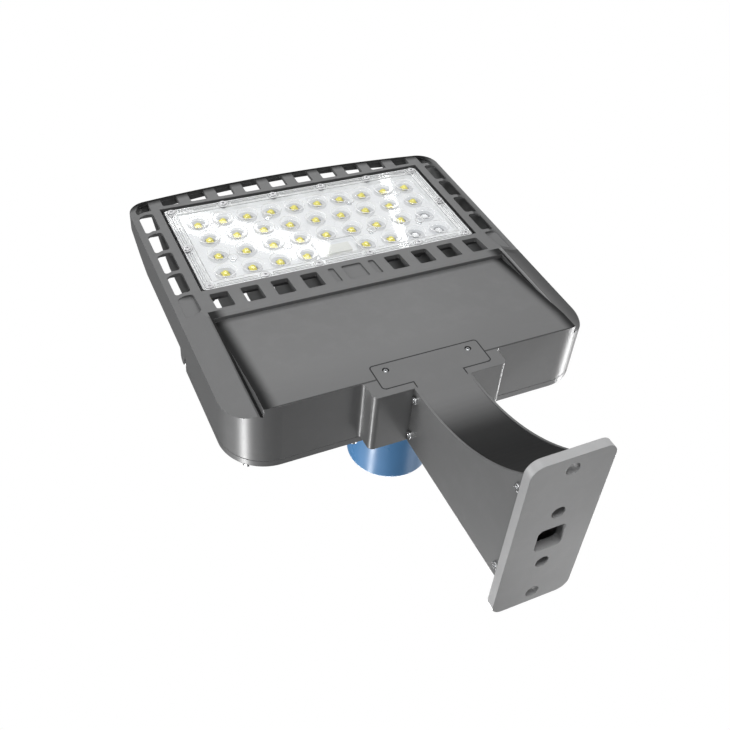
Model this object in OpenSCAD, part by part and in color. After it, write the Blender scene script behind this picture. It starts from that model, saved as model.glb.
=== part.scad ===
// LED street light on a wall arm. Millimetres, +Z up, +Y out from the wall, light shining down.
// The origin is the centre of the cable hole in the rear face of the wall plate.

/* [Arm and wall plate] */
// Distance from the wall to the rear face of the housing's boss
arm_reach = 171; // [164:1:190]
// Width of the arm across its side walls
arm_w = 55; // [54:1:58]
// Wall thickness of the arm casting
arm_wall = 4; // [3.5:0.5:4.5]
// Radius of the hollow curve under the arm
arm_curve_r = 223; // [221:1:240]
// Height of the arm's underside below the origin, where it meets the housing
arm_drop = 7; // [6:0.5:8]
// Height of the arm's top above the origin at the housing
arm_top = 57.5; // [56:0.5:57.5]
// Height of the arm's top above the origin at the wall plate
arm_top_wall = 56.5; // [54:0.5:57]
// Width of the wall plate
plate_w = 72; // [70:1:80]
// Height of the wall plate
plate_h = 174; // [172:1:184]
// Thickness of the wall plate
plate_t = 8; // [7:0.5:10]
// Height of the plate's middle below the cable hole
plate_drop = 4; // [3:0.5:5]
// Corner radius of the wall plate
plate_r = 11; // [8:1:14]
// Diameter of the four bolt holes in the wall plate
bolt_hole_d = 12; // [10:0.5:13]
// Distance between the two inner bolt holes
inner_pitch = 60; // [58:1:62]
// Distance between the two outer bolt holes
outer_pitch = 148; // [146:1:150]
// Side of the square cable hole
cable_hole = 25; // [20:1:27]

/* [Housing] */
// Width of the housing
housing_w = 363; // [361:1:372]
// Length of the driver compartment, from the rear wall to the step under it
driver_l = 139; // [138:1:146]
// Depth of the boss that carries the arm
boss_d = 20; // [18:1:24]
// Width of that boss
boss_w = 130; // [124:1:136]
// Radius of the rear corners
rear_r = 43; // [40:1:46]
// Radius of the front corners
front_r = 22; // [20:1:24]
// How far the nose bows out in its middle
nose_bow = 9; // [6:1:10]
// Thickness of the driver compartment's walls
wall = 4; // [3.5:0.5:4.5]
// Thickness of the side rails and the nose
rail_t = 5; // [4.5:0.5:5.5]
// Height of the light's lower face above the origin
face_z = 9.5; // [9:0.5:10.5]
// Height of the seam between housing and top cover
seam_z = 58; // [57.5:0.5:60]
// Height of the side rails' top
rail_z = 48; // [46:0.5:49]
// Thickness of the vented frame
frame_t = 4; // [3.5:0.5:4.5]

/* [Vents and fins] */
// Number of cooling fins on each side of the middle one
fins_per_side = 5; // [4:1:5]
// Distance from one fin to the next
fin_pitch = 30.45; // [30.2:0.05:30.5]
// Thickness of a fin
fin_t = 3; // [2.4:0.1:3.2]
// Width of a front or rear vent
vent_w = 18; // [16:0.5:20]
// Length of a rear vent
vent_l = 25.5; // [22:0.5:27]
// Length of a front vent
front_vent_l = 22; // [20:0.5:23]
// Width of a side vent
side_vent_w = 15; // [13:0.5:15.5]
// Length of a side vent
side_vent_l = 30.5; // [26:0.5:31]
// Number of side vents behind the corner vent
side_vents = 5; // [4:1:5]

/* [Light] */
// Width of the clear lens plate
lens_w = 297; // [295:1:298]
// Length of the clear lens plate
lens_l = 142; // [141:1:143]
// Thickness of the clear lens plate
lens_t = 4; // [3.5:0.5:4.5]
// Diameter of each moulded lens dome
dome_d = 23; // [19:0.5:24]
// Height of each dome below the plate
dome_h = 3.5; // [2.5:0.5:4]
// Distance between rows of lights
row_pitch = 28.8; // [28:0.1:29]
// Thickness of the circuit board
board_t = 1.6; // [1.2:0.1:1.8]

/* [Top cover] */
// Height of the top cover above the seam
cover_h = 10; // [9:0.5:13]
// Thickness of the top cover
cover_t = 3; // [2.5:0.5:4]

/* [Photocell] */
// Diameter of the photocell
cell_d = 84; // [80:1:88]
// Height of the photocell's cap
cell_h = 70; // [50:1:80]
// Height of the receptacle above its seat
socket_h = 14; // [13:0.5:18]
// Angle that the photocell turns to unlock
cell_twist = 15; // [10:1:18]

/* [Hidden] */
$fn = 48;

// Shared allowances
over = 1;
slide_gap = 0.3;
pin_gap = 0.05;
screw_gap = 0.25;
right_angle = 90;
full_turn = 360;

// Places along the arm and housing
rear_y = arm_reach + boss_d;
step_y = rear_y + driver_l;
rear_web = 44;
lens_y0 = step_y + rear_web;
lens_y1 = lens_y0 + lens_l;
front_web = 36.5;
nose_y = lens_y1 + front_web;
cover_inset = 1;
fit_gap = 0.1;
cover_y = step_y + cover_inset;
half_w = housing_w / 2;
frame_recess = 1.3;
frame_z = face_z - frame_recess;

// Outline of the nose: one long arc that runs into the corner rounds
nose_chord = half_w - front_r;
nose_r = (nose_chord * nose_chord + nose_bow * nose_bow) / (2 * nose_bow);
nose_cy = nose_y - nose_r;
front_cx = half_w - front_r;
front_cy = nose_cy + sqrt(pow(nose_r - front_r, 2) - pow(front_cx, 2));
nose_fan = 3 * front_r / (nose_r - front_r);
nose_fn = 720;

// Underside of the housing
rim_z = 11.5;
crease_in = 23.5;
crease_x = half_w - crease_in;
crease_z = 2.6;
band_hollow = 2;
ridge_w = 2.5;
ridge_x = crease_x - ridge_w;
ridge_z = 3.8;
valley_in = 4;
valley_x = crease_x - valley_in;
panel_in = 20;
roll_d = 1.8;
groove_lap = 0.3;
panel_x = crease_x - panel_in;
panel_z = -arm_drop;
flat_l = 23;
flat_y = rear_y + flat_l;
bend_l = 18;
step_h = 1.6;
step_z = face_z - step_h;
lip_h = 4.7;
lip_z = frame_z - lip_h;
band_steps = 10;
nose_band = 8;
deep_z = -40;

// Driver compartment
side_floor_z = 16;
floor_t = 4;
floor_x = panel_x - floor_t;
boss_corner_r = 5.5;
boss_root_r = 4;
boss_top = arm_top - cover_inset;
boss_wall = 5;
duct_z = 27;
duct_r = 4.5;
cable_r = 12;
grommet_t = 2.5;
cable_z = 24;

// Nose and rails
nose_h = 4.5;
nose_top = rim_z + nose_h;
nose_flat = 4;
rail_front_l = 86;
rail_mid_l = 60;
rail_fall = 7;
rail_mid_z = rail_z - rail_fall;
rail_low_l = 24;
rail_low_fall = 21;
rail_low_z = rail_z - rail_low_fall;
fin_low = 2;
fin_rise = 11;
fin_tall_l = 80;
side_fin_gap = 2;

// Light chamber above the lens plate
gasket_t = 2;
bed_z = face_z + lens_t + gasket_t;
bed_t = 3.5;
collar_t = 3.5;
lens_gap = 0.5;
side_gap = 2.5;
front_gap = 3;
screw_boss_r = 4.5;
screw_boss_h = 6;

// Screws of the lens plate
lens_screw_r = 2;
lens_head_r = 3.8;
lens_seat_gap = 0.5;
lens_seat_d = 0.8;
lens_head_h = 2.4;
lens_screw_l = 13;
lens_row_edge = 5;
lens_corner_edge = 7.5;
lens_row_gaps = 5;
lens_screw_pitch = (lens_w - 2 * lens_corner_edge) / lens_row_gaps;
lens_side_edge = 5;
flange_w = 13;
line_w = 1.2;
line_h = 0.6;
line_in = 1.6;
line_out = 10.2;

// Lights
row1_edge = 31.2;
row1_n = 10;
row1_side = 28.35;
row1_pitch = (lens_w - 2 * row1_side) / (row1_n - 1);
row2_n = 9;
row2_side = 31.7;
row2_pitch = (lens_w - 2 * row2_side) / (row2_n - 1);
row4_shares = [0.1111, 0.2084, 0.3064, 0.4007];
row3_spares = 1;
row4_spares = 2;
chip_w = 7;
chip_t = 0.8;
chip_dome_r = 3.4;
pocket_r = 5.4;
pocket_d = 3.9;
dome_edge = 0.6;
rim_h = 1.2;
bump_r = 7;
board_edge = 16.5;
board_end = 14;
board_w = lens_w - 2 * board_edge;
board_l = lens_l - 2 * board_end;
board_screw_shares = [0.16, 0.3535];
board_screw_front = 41;
board_screw_rear = 99;
board_screw_r = 1.5;
board_head_r = 2.8;
board_head_h = 1.4;
board_screw_l = 8;
conn_w = 30;
conn_l = 14;
conn_h = 3.8;
conn_edge = 25;
conn_box_w = 46;
conn_box_l = 28;
conn_box_h = 2;
conn_wall = 2;

// Hinge of the top cover
hinge_out = 11;
hinge_fall = 1;
hinge_y = step_y + hinge_out;
hinge_z = seam_z - hinge_fall;
lug_r = 6;
ear_r = 5.4;
hinge_pin_r = 2.5;
lug_in = 21;
lug_x0 = half_w - lug_in;
lug_w = 5;
ear_in = 15;
ear_x0 = half_w - ear_in;
ear_w = 8;

// Top cover
seam_gap = 0.4;
cover_edge = 3;
cover_top = seam_z + cover_h;
cover_screw_in = 17.5;
cover_screw_mid = 67;
cover_screw_x = [half_w - cover_screw_in, cover_screw_mid];
cover_screw_y = [16, 7];
cover_screw_r = 2;
cover_bore_r = 2.7;
cover_boss_r = 6;
cover_head_r = 4;
cover_head_h = 2.6;
cover_screw_l = 8;
cover_bore_l = 12;
gasket_w = 2;
gasket_in = 1.2;
gasket_h = 1.6;

// Driver, surge protector and terminal block
driver_edge = 31.5;
driver_end = 10;
driver_rear = 55;
driver_case_w = 66;
driver_x0 = driver_edge - half_w;
driver_x1 = driver_end;
driver_y0 = rear_y + driver_rear;
driver_y1 = driver_y0 + driver_case_w;
driver_z = 17;
driver_h = 26;
driver_r = 4;
ear_l = 10;
ear_t = 3;
driver_screw_x = 5;
driver_screw_y = 20;
post_r = 5;
post_sink = 4;
small_screw_r = 1.8;
small_head_r = 3.6;
small_head_h = 2.2;
small_screw_l = 10;
surge_x0 = 45;
surge_edge = 81.5;
surge_rear = 60;
surge_l = 46;
surge_x1 = half_w - surge_edge;
surge_y0 = rear_y + surge_rear;
surge_y1 = surge_y0 + surge_l;
surge_h = 24;
block_x0 = 46;
block_edge = 83.5;
block_rear = 26;
block_l = 18;
block_x1 = half_w - block_edge;
block_y0 = rear_y + block_rear;
block_y1 = block_y0 + block_l;
block_z = 9;
block_h = 16;
pole_n = 5;
lead_r = 1.2;
lead_n = 3;
lead_pitch = 9;
lead_bend = 4;

// Photocell socket
cell_rear = 57.4;
cell_y = rear_y + cell_rear;
seat_r = 40;
seat_h = 2;
seal_h = 1.2;
neck_r = 24;
neck_l = 20;
neck_low_z = cover_top - neck_l;
flange_r = 39;
flange_h = 3.6;
socket_r = 33;
ring_r = 31;
ring_h = 6;
socket_z = cover_top + seat_h + seal_h + pin_gap;
socket_top = socket_z + socket_h;
slot_r = 14;
slot_t = 2.2;
blade_t = 1.6;
blade_span = 36;
slot_play = 3;
slot_d = 13;
blade_l = 11;
contact_t = 0.8;
contact_tail = 2;
contact_span = 28;
blade_n = 3;

// Photocell
cell_wall = 2.2;
cell_gap = 0.4;
cell_z = socket_top + cell_gap;
cell_base_t = 5;
cell_base_r = cell_d / 2 - cell_wall - fit_gap;
skirt_in = 1;
skirt_r = socket_r + skirt_in;
skirt_h = 6;
cell_foot = 2;
cell_cap_z = cell_z + cell_foot;
cap_round = 3;
window_w = 18;
window_h = 12;
window_z = 34;
cell_board_r = 30;
cell_board_t = 1.6;
cell_post_h = 5;
cell_post_r = 3;
cell_post_place = 22;
relay_w = 20;
relay_l = 16;
relay_h = 16;
sensor_r = 2.5;
sensor_h = 26;
sensor_y = 25;

// Arm
arm_half = arm_w / 2;
curve_end = 3;
curve_y = arm_reach - curve_end;
lip_t = 2;
lip_d = 0.8;
stem_l = 8;
head_l = 29;
head_y0 = arm_reach + stem_l;
head_y1 = head_y0 + head_l;
head_half = 52.8;
head_t = 6;
head_r = 3;
stem_in = 3.3;
stem_half = arm_half - stem_in;
head_gap = 0.5;
head_screw_x = 40.8;
head_screw_l1 = 29.2;
head_screw_y = arm_reach + head_screw_l1;
head_screw_r = 2;
head_screw_head_r = 2.75;
head_screw_head_h = 3;
head_screw_l = 12;
pad_half = 58;
pad_end = 6;
pad_t = 9;
pad_y1 = head_y1 + pad_end;
pad_z = panel_z + head_t + pad_t;
side_r = 2;
side_head_r = 3.4;
side_head_h = 2;
side_l = 9;
front_screw_in = 4.5;
front_screw_y = arm_reach - front_screw_in;
front_screw_z = [3.3, 46];
rear_screw_y = 17.6;
rear_screw_z = [-51, 43];
cheek_t = 5;
cheek_gap = 0.2;
cheek_front_l = 16;
cheek_rear_l = 20;
cheek_x = arm_half - arm_wall - cheek_gap - cheek_t;
relief_r = 11;
relief_l = 14;
cable_corner_r = 5;

// Solid from an outline drawn in Y and Z, running along X
module along_x(x0, x1) {
    translate([x0, 0, 0])
        rotate([right_angle, 0, right_angle])
            linear_extrude(height = x1 - x0)
                children();
}

// Solid from an outline drawn in X and Z, running along Y
module along_y(y0, y1) {
    translate([0, y1, 0])
        rotate([right_angle, 0, 0])
            linear_extrude(height = y1 - y0)
                children();
}

module upright(z0, z1) {
    translate([0, 0, z0])
        linear_extrude(height = z1 - z0)
            children();
}

module both_sides() {
    children();
    mirror([1, 0, 0])
        children();
}

module post(x, y, z0, z1, r) {
    translate([x, y, z0])
        cylinder(r = r, h = z1 - z0);
}

// Round bar along X, centred on x
module cross_pin(x0, x1, y, z, r) {
    translate([x0, y, z])
        rotate([0, right_angle, 0])
            cylinder(r = r, h = x1 - x0);
}

// Round bar along Y
module long_pin(x, y0, y1, z, r) {
    translate([x, y0, z])
        rotate([-right_angle, 0, 0])
            cylinder(r = r, h = y1 - y0);
}

module round_rect(x0, x1, y0, y1, r) {
    translate([x0 + r, y0])
        square([x1 - x0 - 2 * r, y1 - y0]);
    translate([x0, y0 + r])
        square([x1 - x0, y1 - y0 - 2 * r]);
    for (x = [x0 + r, x1 - r], y = [y0 + r, y1 - r])
        translate([x, y])
            circle(r = r);
}

// Upright arc-shaped bar around the photocell's axis
module arc_bar(r, t, z0, z1, middle, span) {
    rotate([0, 0, middle - span / 2])
        rotate_extrude(angle = span)
            translate([r - t / 2, z0])
                square([t, z1 - z0]);
}

module tube(r0, r1, z0, z1) {
    rotate_extrude()
        translate([r0, z0])
            square([r1 - r0, z1 - z0]);
}

// Plan outline of the whole housing, drawn in by the inset
module plan(inset) {
    translate([-half_w + inset, rear_y + rear_r])
        square([housing_w - 2 * inset, front_cy - rear_y - rear_r]);
    translate([-half_w + rear_r, rear_y + inset])
        square([housing_w - 2 * rear_r, rear_r]);
    for (side = [-1, 1]) {
        translate([side * (half_w - rear_r), rear_y + rear_r])
            circle(r = rear_r - inset);
        translate([side * front_cx, front_cy])
            circle(r = front_r - inset);
    }
    intersection() {
        translate([0, nose_cy])
            circle(r = nose_r - inset, $fn = nose_fn);
        nose_fan_outline();
    }
}

module nose_fan_outline() {
    fan_x = front_cx * (1 + nose_fan);
    fan_y = front_cy + (front_cy - nose_cy) * nose_fan;
    polygon([[-front_cx, front_cy], [front_cx, front_cy], [fan_x, fan_y], [-fan_x, fan_y]]);
}

// Plan outline of the driver compartment and its cover
module rear_plan(inset, front_y) {
    translate([-half_w + inset, rear_y + rear_r])
        square([housing_w - 2 * inset, front_y - rear_y - rear_r]);
    translate([-half_w + rear_r, rear_y + inset])
        square([housing_w - 2 * rear_r, rear_r]);
    for (side = [-1, 1])
        translate([side * (half_w - rear_r), rear_y + rear_r])
            circle(r = rear_r - inset);
}

module boss_plan() {
    half = boss_w / 2;
    round_rect(-half, half, arm_reach, rear_y + rear_r, boss_corner_r);
    for (side = [-1, 1])
        difference() {
            translate([side * (half + boss_root_r / 2), rear_y])
                square([boss_root_r, 2 * boss_root_r], center = true);
            translate([side * (half + boss_root_r), rear_y - boss_root_r])
                circle(r = boss_root_r);
        }
}

// Hollow band below the rim, from the rim's edge in to the crease
function band_point(s) = [
    crease_x + s * (half_w - crease_x),
    crease_z + s * (rim_z - crease_z) + 4 * band_hollow * s * (1 - s)
];

module band_air() {
    curve = [for (i = [0 : band_steps]) band_point(i / band_steps)];
    outside = half_w + floor_t;
    both_sides()
        along_y(rear_y - over, nose_y + over)
            polygon(concat([[crease_x, deep_z]], curve, [[outside, rim_z], [outside, deep_z]]));
}

// Air in the groove between the crease and the panel's edge
module groove_air() {
    both_sides()
        along_y(rear_y - over, step_y + over)
            polygon([
                [valley_x - groove_lap, deep_z], [valley_x - groove_lap, ridge_z], [ridge_x, ridge_z],
                [crease_x, crease_z], [crease_x, deep_z]
            ]);
}

// Air under the panel's rolled edge, for a panel at height zero
module roll_section() {
    roll_w = valley_x - panel_x;
    r = (roll_w * roll_w + roll_d * roll_d) / (2 * roll_d);
    difference() {
        translate([panel_x, deep_z])
            square([roll_w, roll_d - deep_z]);
        translate([panel_x, r])
            circle(r = r, $fn = nose_fn);
    }
}

// Rolled edges of the level part and of the ramp
module roll_air() {
    both_sides() {
        translate([0, 0, panel_z])
            along_y(rear_y - over, flat_y + bend_l)
                roll_section();
        translate([0, flat_y, panel_z])
            rotate([atan(slope), 0, 0])
                along_y(-bend_l, step_y - flat_y + bend_l)
                    roll_section();
    }
}

// Height of the panel above the level part, along the housing
slope = (step_z - panel_z) / (step_y - flat_y);

function bend_point(s) = [
    flat_y - bend_l + 2 * bend_l * s,
    panel_z + slope * bend_l * s * s
];

function panel_line() = concat(
    [for (i = [0 : band_steps]) bend_point(i / band_steps)],
    [[step_y, step_z]]
);

module panel_air() {
    along_x(-valley_x, valley_x)
        polygon(concat([[flat_y - bend_l, deep_z]], panel_line(), [[step_y, deep_z]]));
}

// Heights of the side rails and the nose along the housing
module rail_profile() {
    polygon([
        [step_y - wall, frame_z + frame_t / 2], [nose_y + over, frame_z + frame_t / 2],
        [nose_y + over, nose_top], [nose_y - nose_flat, nose_top],
        [nose_y - rail_low_l, rail_low_z], [nose_y - rail_mid_l, rail_mid_z],
        [nose_y - rail_front_l, rail_z], [step_y - wall, rail_z]
    ]);
}

module fin_profile(rise) {
    low = frame_z + frame_t / 2;
    tall_y = step_y + fin_tall_l;
    polygon([
        [step_y - wall, low], [nose_y, low], [nose_y, nose_top - fin_low],
        [nose_y - rail_low_l, rail_low_z - fin_low], [nose_y - rail_mid_l, rail_mid_z - fin_low],
        [nose_y - rail_front_l, rail_z - fin_low], [tall_y, rail_z - fin_low + rise],
        [step_y - wall, rail_z - fin_low + rise]
    ]);
}

module compartment() {
    difference() {
        union() {
            difference() {
                upright(panel_z, seam_z)
                    rear_plan(0, step_y);
                compartment_hollow();
            }
            inner_posts();
        }
        band_air();
        groove_air();
        roll_air();
        panel_air();
    }
}

module compartment_hollow() {
    floor_z = panel_z + floor_t;
    rear_in = rear_y + wall;
    front_in = step_y - wall;
    upright(side_floor_z, seam_z + over)
        rear_plan(wall, front_in);
    along_x(-floor_x, floor_x)
        polygon([
            [rear_in, floor_z], [flat_y, floor_z], [front_in, floor_z + slope * (front_in - flat_y)],
            [front_in, side_floor_z + over], [rear_in, side_floor_z + over]
        ]);
}

module boss() {
    inner = boss_w / 2 - boss_wall - over;
    difference() {
        upright(panel_z, boss_top)
            difference() {
                boss_plan();
                rear_plan(wall / 2, step_y);
            }
        along_x(-inner, inner)
            polygon([
                [arm_reach + boss_wall, panel_z + head_t + floor_t],
                [rear_y + wall, panel_z + head_t + floor_t],
                [rear_y + wall, boss_top - boss_wall], [arm_reach + boss_wall, boss_top - boss_wall]
            ]);
    }
}

// Lower frame with the vents, the collar round the lens plate and the bed above it
module vented_frame() {
    difference() {
        intersection() {
            upright(lip_z, frame_z + frame_t)
                plan(0);
            along_x(-half_w, half_w)
                polygon([
                    [step_y - wall, lip_z], [step_y, lip_z], [lens_y0, frame_z], [nose_y, frame_z],
                    [nose_y, frame_z + frame_t], [step_y - wall, frame_z + frame_t]
                ]);
        }
        band_air();
        nose_air();
        vents();
        blind_recesses();
    }
}

// Room that holds the lens plate, its gasket and the circuit board
module light_chamber() {
    translate([-lens_w / 2 - side_gap, lens_y0 - lens_gap, deep_z])
        cube([lens_w + 2 * side_gap, lens_l + lens_gap + front_gap, bed_z - deep_z]);
}

// Air under the sloping edge of the nose, a little wider than its outline
module nose_air() {
    lift = rim_z - frame_z;
    difference() {
        upright(frame_z - over, rim_z)
            translate([-half_w - over, front_cy])
                square([housing_w + 2 * over, nose_y - front_cy + over]);
        translate([0, 0, frame_z - over])
            linear_extrude(height = lift + 2 * over)
                translate([-front_cx, front_cy - front_r])
                    square([2 * front_cx, front_r]);
        for (side = [-1, 1])
            translate([side * front_cx, front_cy, frame_z])
                cylinder(r1 = front_r - nose_band, r2 = front_r, h = lift);
        for (side = [-1, 1])
            post(side * front_cx, front_cy, frame_z - 2 * over, frame_z, front_r - nose_band);
        intersection() {
            translate([0, nose_cy, frame_z])
                cylinder(r1 = nose_r - nose_band, r2 = nose_r, h = lift, $fn = nose_fn);
            upright(frame_z - over, rim_z + over)
                nose_fan_outline();
        }
        intersection() {
            translate([0, nose_cy, frame_z - 2 * over])
                cylinder(r = nose_r - nose_band, h = 2 * over, $fn = nose_fn);
            upright(frame_z - 2 * over, rim_z)
                nose_fan_outline();
        }
    }
}

vent_r = 2;
side_vent_r = 3.5;
vent_frame = 1.2;
rear_vent_in = 10;
rear_vent_y = step_y + rear_vent_in;
front_vent_in = 1.5;
front_vent_y = lens_y1 + front_gap + collar_t + front_vent_in;
side_vent_in = 14.3;
side_vent_x = half_w - side_vent_in;
side_fin_x = side_vent_x - side_vent_w / 2 - side_fin_gap;
side_vent_pitch = 35.4;
side_vent_end = 17.5;
side_vent_y = lens_y1 - side_vent_end;
corner_vent_l = 20;
corner_vent_step = 30.5;
corner_vent_y = side_vent_y + corner_vent_step;

module vents() {
    bottom = deep_z;
    top = frame_z + frame_t + over;
    half_pitch = fin_pitch / 2;
    upright(bottom, top)
        for (k = [3 : 2 : 9], side = [-1, 1])
            round_rect(side * k * half_pitch - vent_w / 2, side * k * half_pitch + vent_w / 2,
                rear_vent_y, rear_vent_y + vent_l, vent_r);
    upright(bottom, top)
        intersection() {
            plan(rail_t + vent_frame);
            for (side = [-1, 1]) {
                for (k = [1 : 2 : 9])
                    round_rect(side * k * half_pitch - vent_w / 2, side * k * half_pitch + vent_w / 2,
                        front_vent_y, front_vent_y + front_vent_l, vent_r);
                round_rect(side * side_vent_x - side_vent_w / 2, side * side_vent_x + side_vent_w / 2,
                    corner_vent_y - corner_vent_l / 2, corner_vent_y + corner_vent_l / 2, vent_r);
            }
        }
    upright(bottom, top)
        for (k = [0 : side_vents - 2])
            side_vent_outline(k);
}

module side_vent_outline(k) {
    y = side_vent_y - k * side_vent_pitch;
    for (side = [-1, 1])
        round_rect(side * side_vent_x - side_vent_w / 2, side * side_vent_x + side_vent_w / 2,
            y - side_vent_l / 2, y + side_vent_l / 2, side_vent_r);
}

side_blind_d = 2.6;
blind_d = 1.6;
blind_half = 10.5;
blind_x0 = 18.8;
blind_x1 = 25;

module blind_recesses() {
    upright(deep_z, frame_z + side_blind_d)
        side_vent_outline(side_vents - 1);
    difference() {
        upright(deep_z, frame_z + frame_t)
            for (range = [[-blind_half, blind_half], [blind_x0, blind_x1], [-blind_x1, -blind_x0]])
                round_rect(range[0], range[1], rear_vent_y, rear_vent_y + vent_l, vent_r);
        along_x(-half_w, half_w)
            polygon([
                [step_y, lip_z + blind_d], [lens_y0, frame_z + blind_d], [lens_y0, seam_z], [step_y, seam_z]
            ]);
    }
}

module side_rails() {
    difference() {
        intersection() {
            upright(frame_z, rail_z)
                difference() {
                    plan(0);
                    plan(rail_t);
                }
            along_x(-half_w, half_w)
                rail_profile();
        }
        band_air();
        nose_air();
    }
}

module light_bed() {
    x1 = lens_w / 2 + side_gap + collar_t;
    y0 = lens_y0 - lens_gap - collar_t;
    y1 = lens_y1 + front_gap + collar_t;
    translate([-x1, y0, frame_z + frame_t / 2])
        cube([2 * x1, y1 - y0, bed_z + bed_t - frame_z - frame_t / 2]);
}

module fins() {
    intersection() {
        union() {
            for (k = [1 - fins_per_side : fins_per_side - 1])
                along_x(k * fin_pitch - fin_t / 2, k * fin_pitch + fin_t / 2)
                    fin_profile(fin_rise);
            both_sides()
                along_x(side_fin_x - fin_t, side_fin_x)
                    fin_profile(0);
        }
        upright(frame_z, seam_z)
            plan(rail_t / 2);
    }
}

duct_block_w = 24;
duct_block_h = 7;
duct_block_top = duct_z + duct_block_h;
duct_end_y = lens_y0 + conn_edge;

module wire_duct() {
    translate([-duct_block_w / 2, step_y - wall / 2, frame_z + frame_t / 2])
        cube([
            duct_block_w, duct_end_y + duct_r + floor_t - step_y + wall / 2,
            duct_block_top - frame_z - frame_t / 2
        ]);
}

module hinge_lugs() {
    both_sides() {
        cross_pin(lug_x0, lug_x0 + lug_w, hinge_y, hinge_z, lug_r);
        translate([lug_x0, step_y - wall / 2, rail_z - 2 * lug_r])
            cube([lug_w, hinge_y + lug_r - step_y + wall / 2, 2 * lug_r]);
        translate([lug_x0, hinge_y - lug_r, rail_z - over])
            cube([lug_w, 2 * lug_r, hinge_z - rail_z + over]);
        cross_pin(half_w - rail_t, half_w, hinge_y, hinge_z, lug_r);
        translate([half_w - rail_t, hinge_y - lug_r, rail_z - over])
            cube([rail_t, 2 * lug_r, hinge_z - rail_z + over]);
    }
}

module inner_posts() {
    both_sides()
        for (i = [0 : 1])
            intersection() {
                post(cover_screw_x[i], rear_y + cover_screw_y[i], seam_z - 2 * cover_bore_l, seam_z,
                    cover_boss_r);
                upright(panel_z, seam_z)
                    rear_plan(wall / 2, step_y);
            }
    for (x = [driver_x0 - driver_screw_x, driver_x1 + driver_screw_x], side = [-1, 1])
        post(x, (driver_y0 + driver_y1) / 2 + side * driver_screw_y, panel_z + floor_t + post_sink, driver_z, post_r);
    translate([surge_x0 + post_r, surge_y0 + post_r, panel_z + floor_t])
        cube([surge_x1 - surge_x0 - 2 * post_r, surge_y1 - surge_y0 - 2 * post_r, driver_z - panel_z - floor_t]);
    translate([block_x0 + over, block_y0 + over, panel_z + floor_t / 2])
        cube([block_x1 - block_x0 - 2 * over, block_y1 - block_y0 - 2 * over, block_z - panel_z - floor_t / 2]);
    translate([-pad_half, rear_y + wall / 2, panel_z])
        cube([2 * pad_half, pad_y1 - rear_y - wall / 2, pad_z - panel_z]);
}

// Tongue that the arm's side wall is screwed to
module arm_cheek(y0, y1, places) {
    low = places[0] - side_head_r;
    high = places[1] + side_head_r;
    translate([cheek_x, y0, low])
        cube([cheek_t, y1 - y0, high - low]);
}

module side_holes(y, places, r) {
    for (z = places)
        cross_pin(-arm_half - over, arm_half + over, y, z, r);
}

module lens_screw_places() {
    for (row = [lens_y0 + lens_row_edge, lens_y1 - lens_row_edge])
        for (k = [-2.5 : 1 : 2.5])
            translate([k * lens_screw_pitch, row, 0])
                children();
    for (side = [-1, 1])
        translate([side * (lens_w / 2 - lens_side_edge), (lens_y0 + lens_y1) / 2, 0])
            children();
}

module board_screw_places() {
    for (share = board_screw_shares, side = [-1, 1], y = [board_screw_front, board_screw_rear])
        translate([side * share * lens_w, lens_y1 - y, 0])
            children();
}

// Places of the lenses; without the spares, those that have a light chip behind them
module light_places(spares = true) {
    row1_y = lens_y1 - row1_edge;
    row4_n = len(row4_shares);
    for (k = [0 : row1_n - 1])
        translate([(k - (row1_n - 1) / 2) * row1_pitch, row1_y, 0])
            children();
    for (row = [1, 2], k = [0 : row2_n - 1])
        if (spares || row == 1 || k >= row3_spares)
            translate([(k - (row2_n - 1) / 2) * row2_pitch, row1_y - row * row_pitch, 0])
                children();
    for (i = [0 : row4_n - 1], side = [-1, 1])
        if (spares || side == 1 || i < row4_n - row4_spares)
            translate([side * row4_shares[i] * lens_w, row1_y - 3 * row_pitch, 0])
                children();
}

module housing() {
    color([0.30, 0.31, 0.32])
        difference() {
            union() {
                compartment();
                boss();
                both_sides()
                    arm_cheek(arm_reach - cheek_front_l, arm_reach + boss_wall / 2, front_screw_z);
                vented_frame();
                side_rails();
                light_bed();
                fins();
                wire_duct();
                hinge_lugs();
                lens_screw_places()
                    post(0, 0, bed_z + over, bed_z + bed_t + screw_boss_h, screw_boss_r);
                board_screw_places()
                    post(0, 0, bed_z + over, bed_z + bed_t + screw_boss_h, screw_boss_r);
            }
            light_chamber();
            lens_screw_places()
                post(0, 0, bed_z - over, face_z + lens_screw_l, lens_screw_r + fit_gap);
            board_screw_places()
                post(0, 0, bed_z - over, bed_z + board_screw_l, board_screw_r);
            both_sides()
                for (i = [0 : 1])
                    post(cover_screw_x[i], rear_y + cover_screw_y[i], seam_z - cover_bore_l, seam_z + over, cover_bore_r);
            for (x = [driver_x0 - driver_screw_x, driver_x1 + driver_screw_x], side = [-1, 1])
                post(x, (driver_y0 + driver_y1) / 2 + side * driver_screw_y,
                    driver_z + ear_t - small_screw_l, driver_z + over, small_screw_r);
            both_sides()
                cross_pin(lug_x0 - over, half_w - rail_t / 2, hinge_y, hinge_z, hinge_pin_r);
            side_holes(front_screw_y, front_screw_z, side_r);
            arm_head_recess();
            both_sides()
                post(head_screw_x, head_screw_y, panel_z, panel_z + head_screw_l, head_screw_r);
            long_pin(0, arm_reach - over, arm_reach + boss_wall + over, cable_z, cable_r);
            long_pin(0, step_y - wall - over, step_y + over, duct_z, duct_r + grommet_t);
            long_pin(0, step_y - wall - over, duct_end_y, duct_z, duct_r);
            post(0, duct_end_y, bed_z - over, duct_z, duct_r);
        }
}

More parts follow.
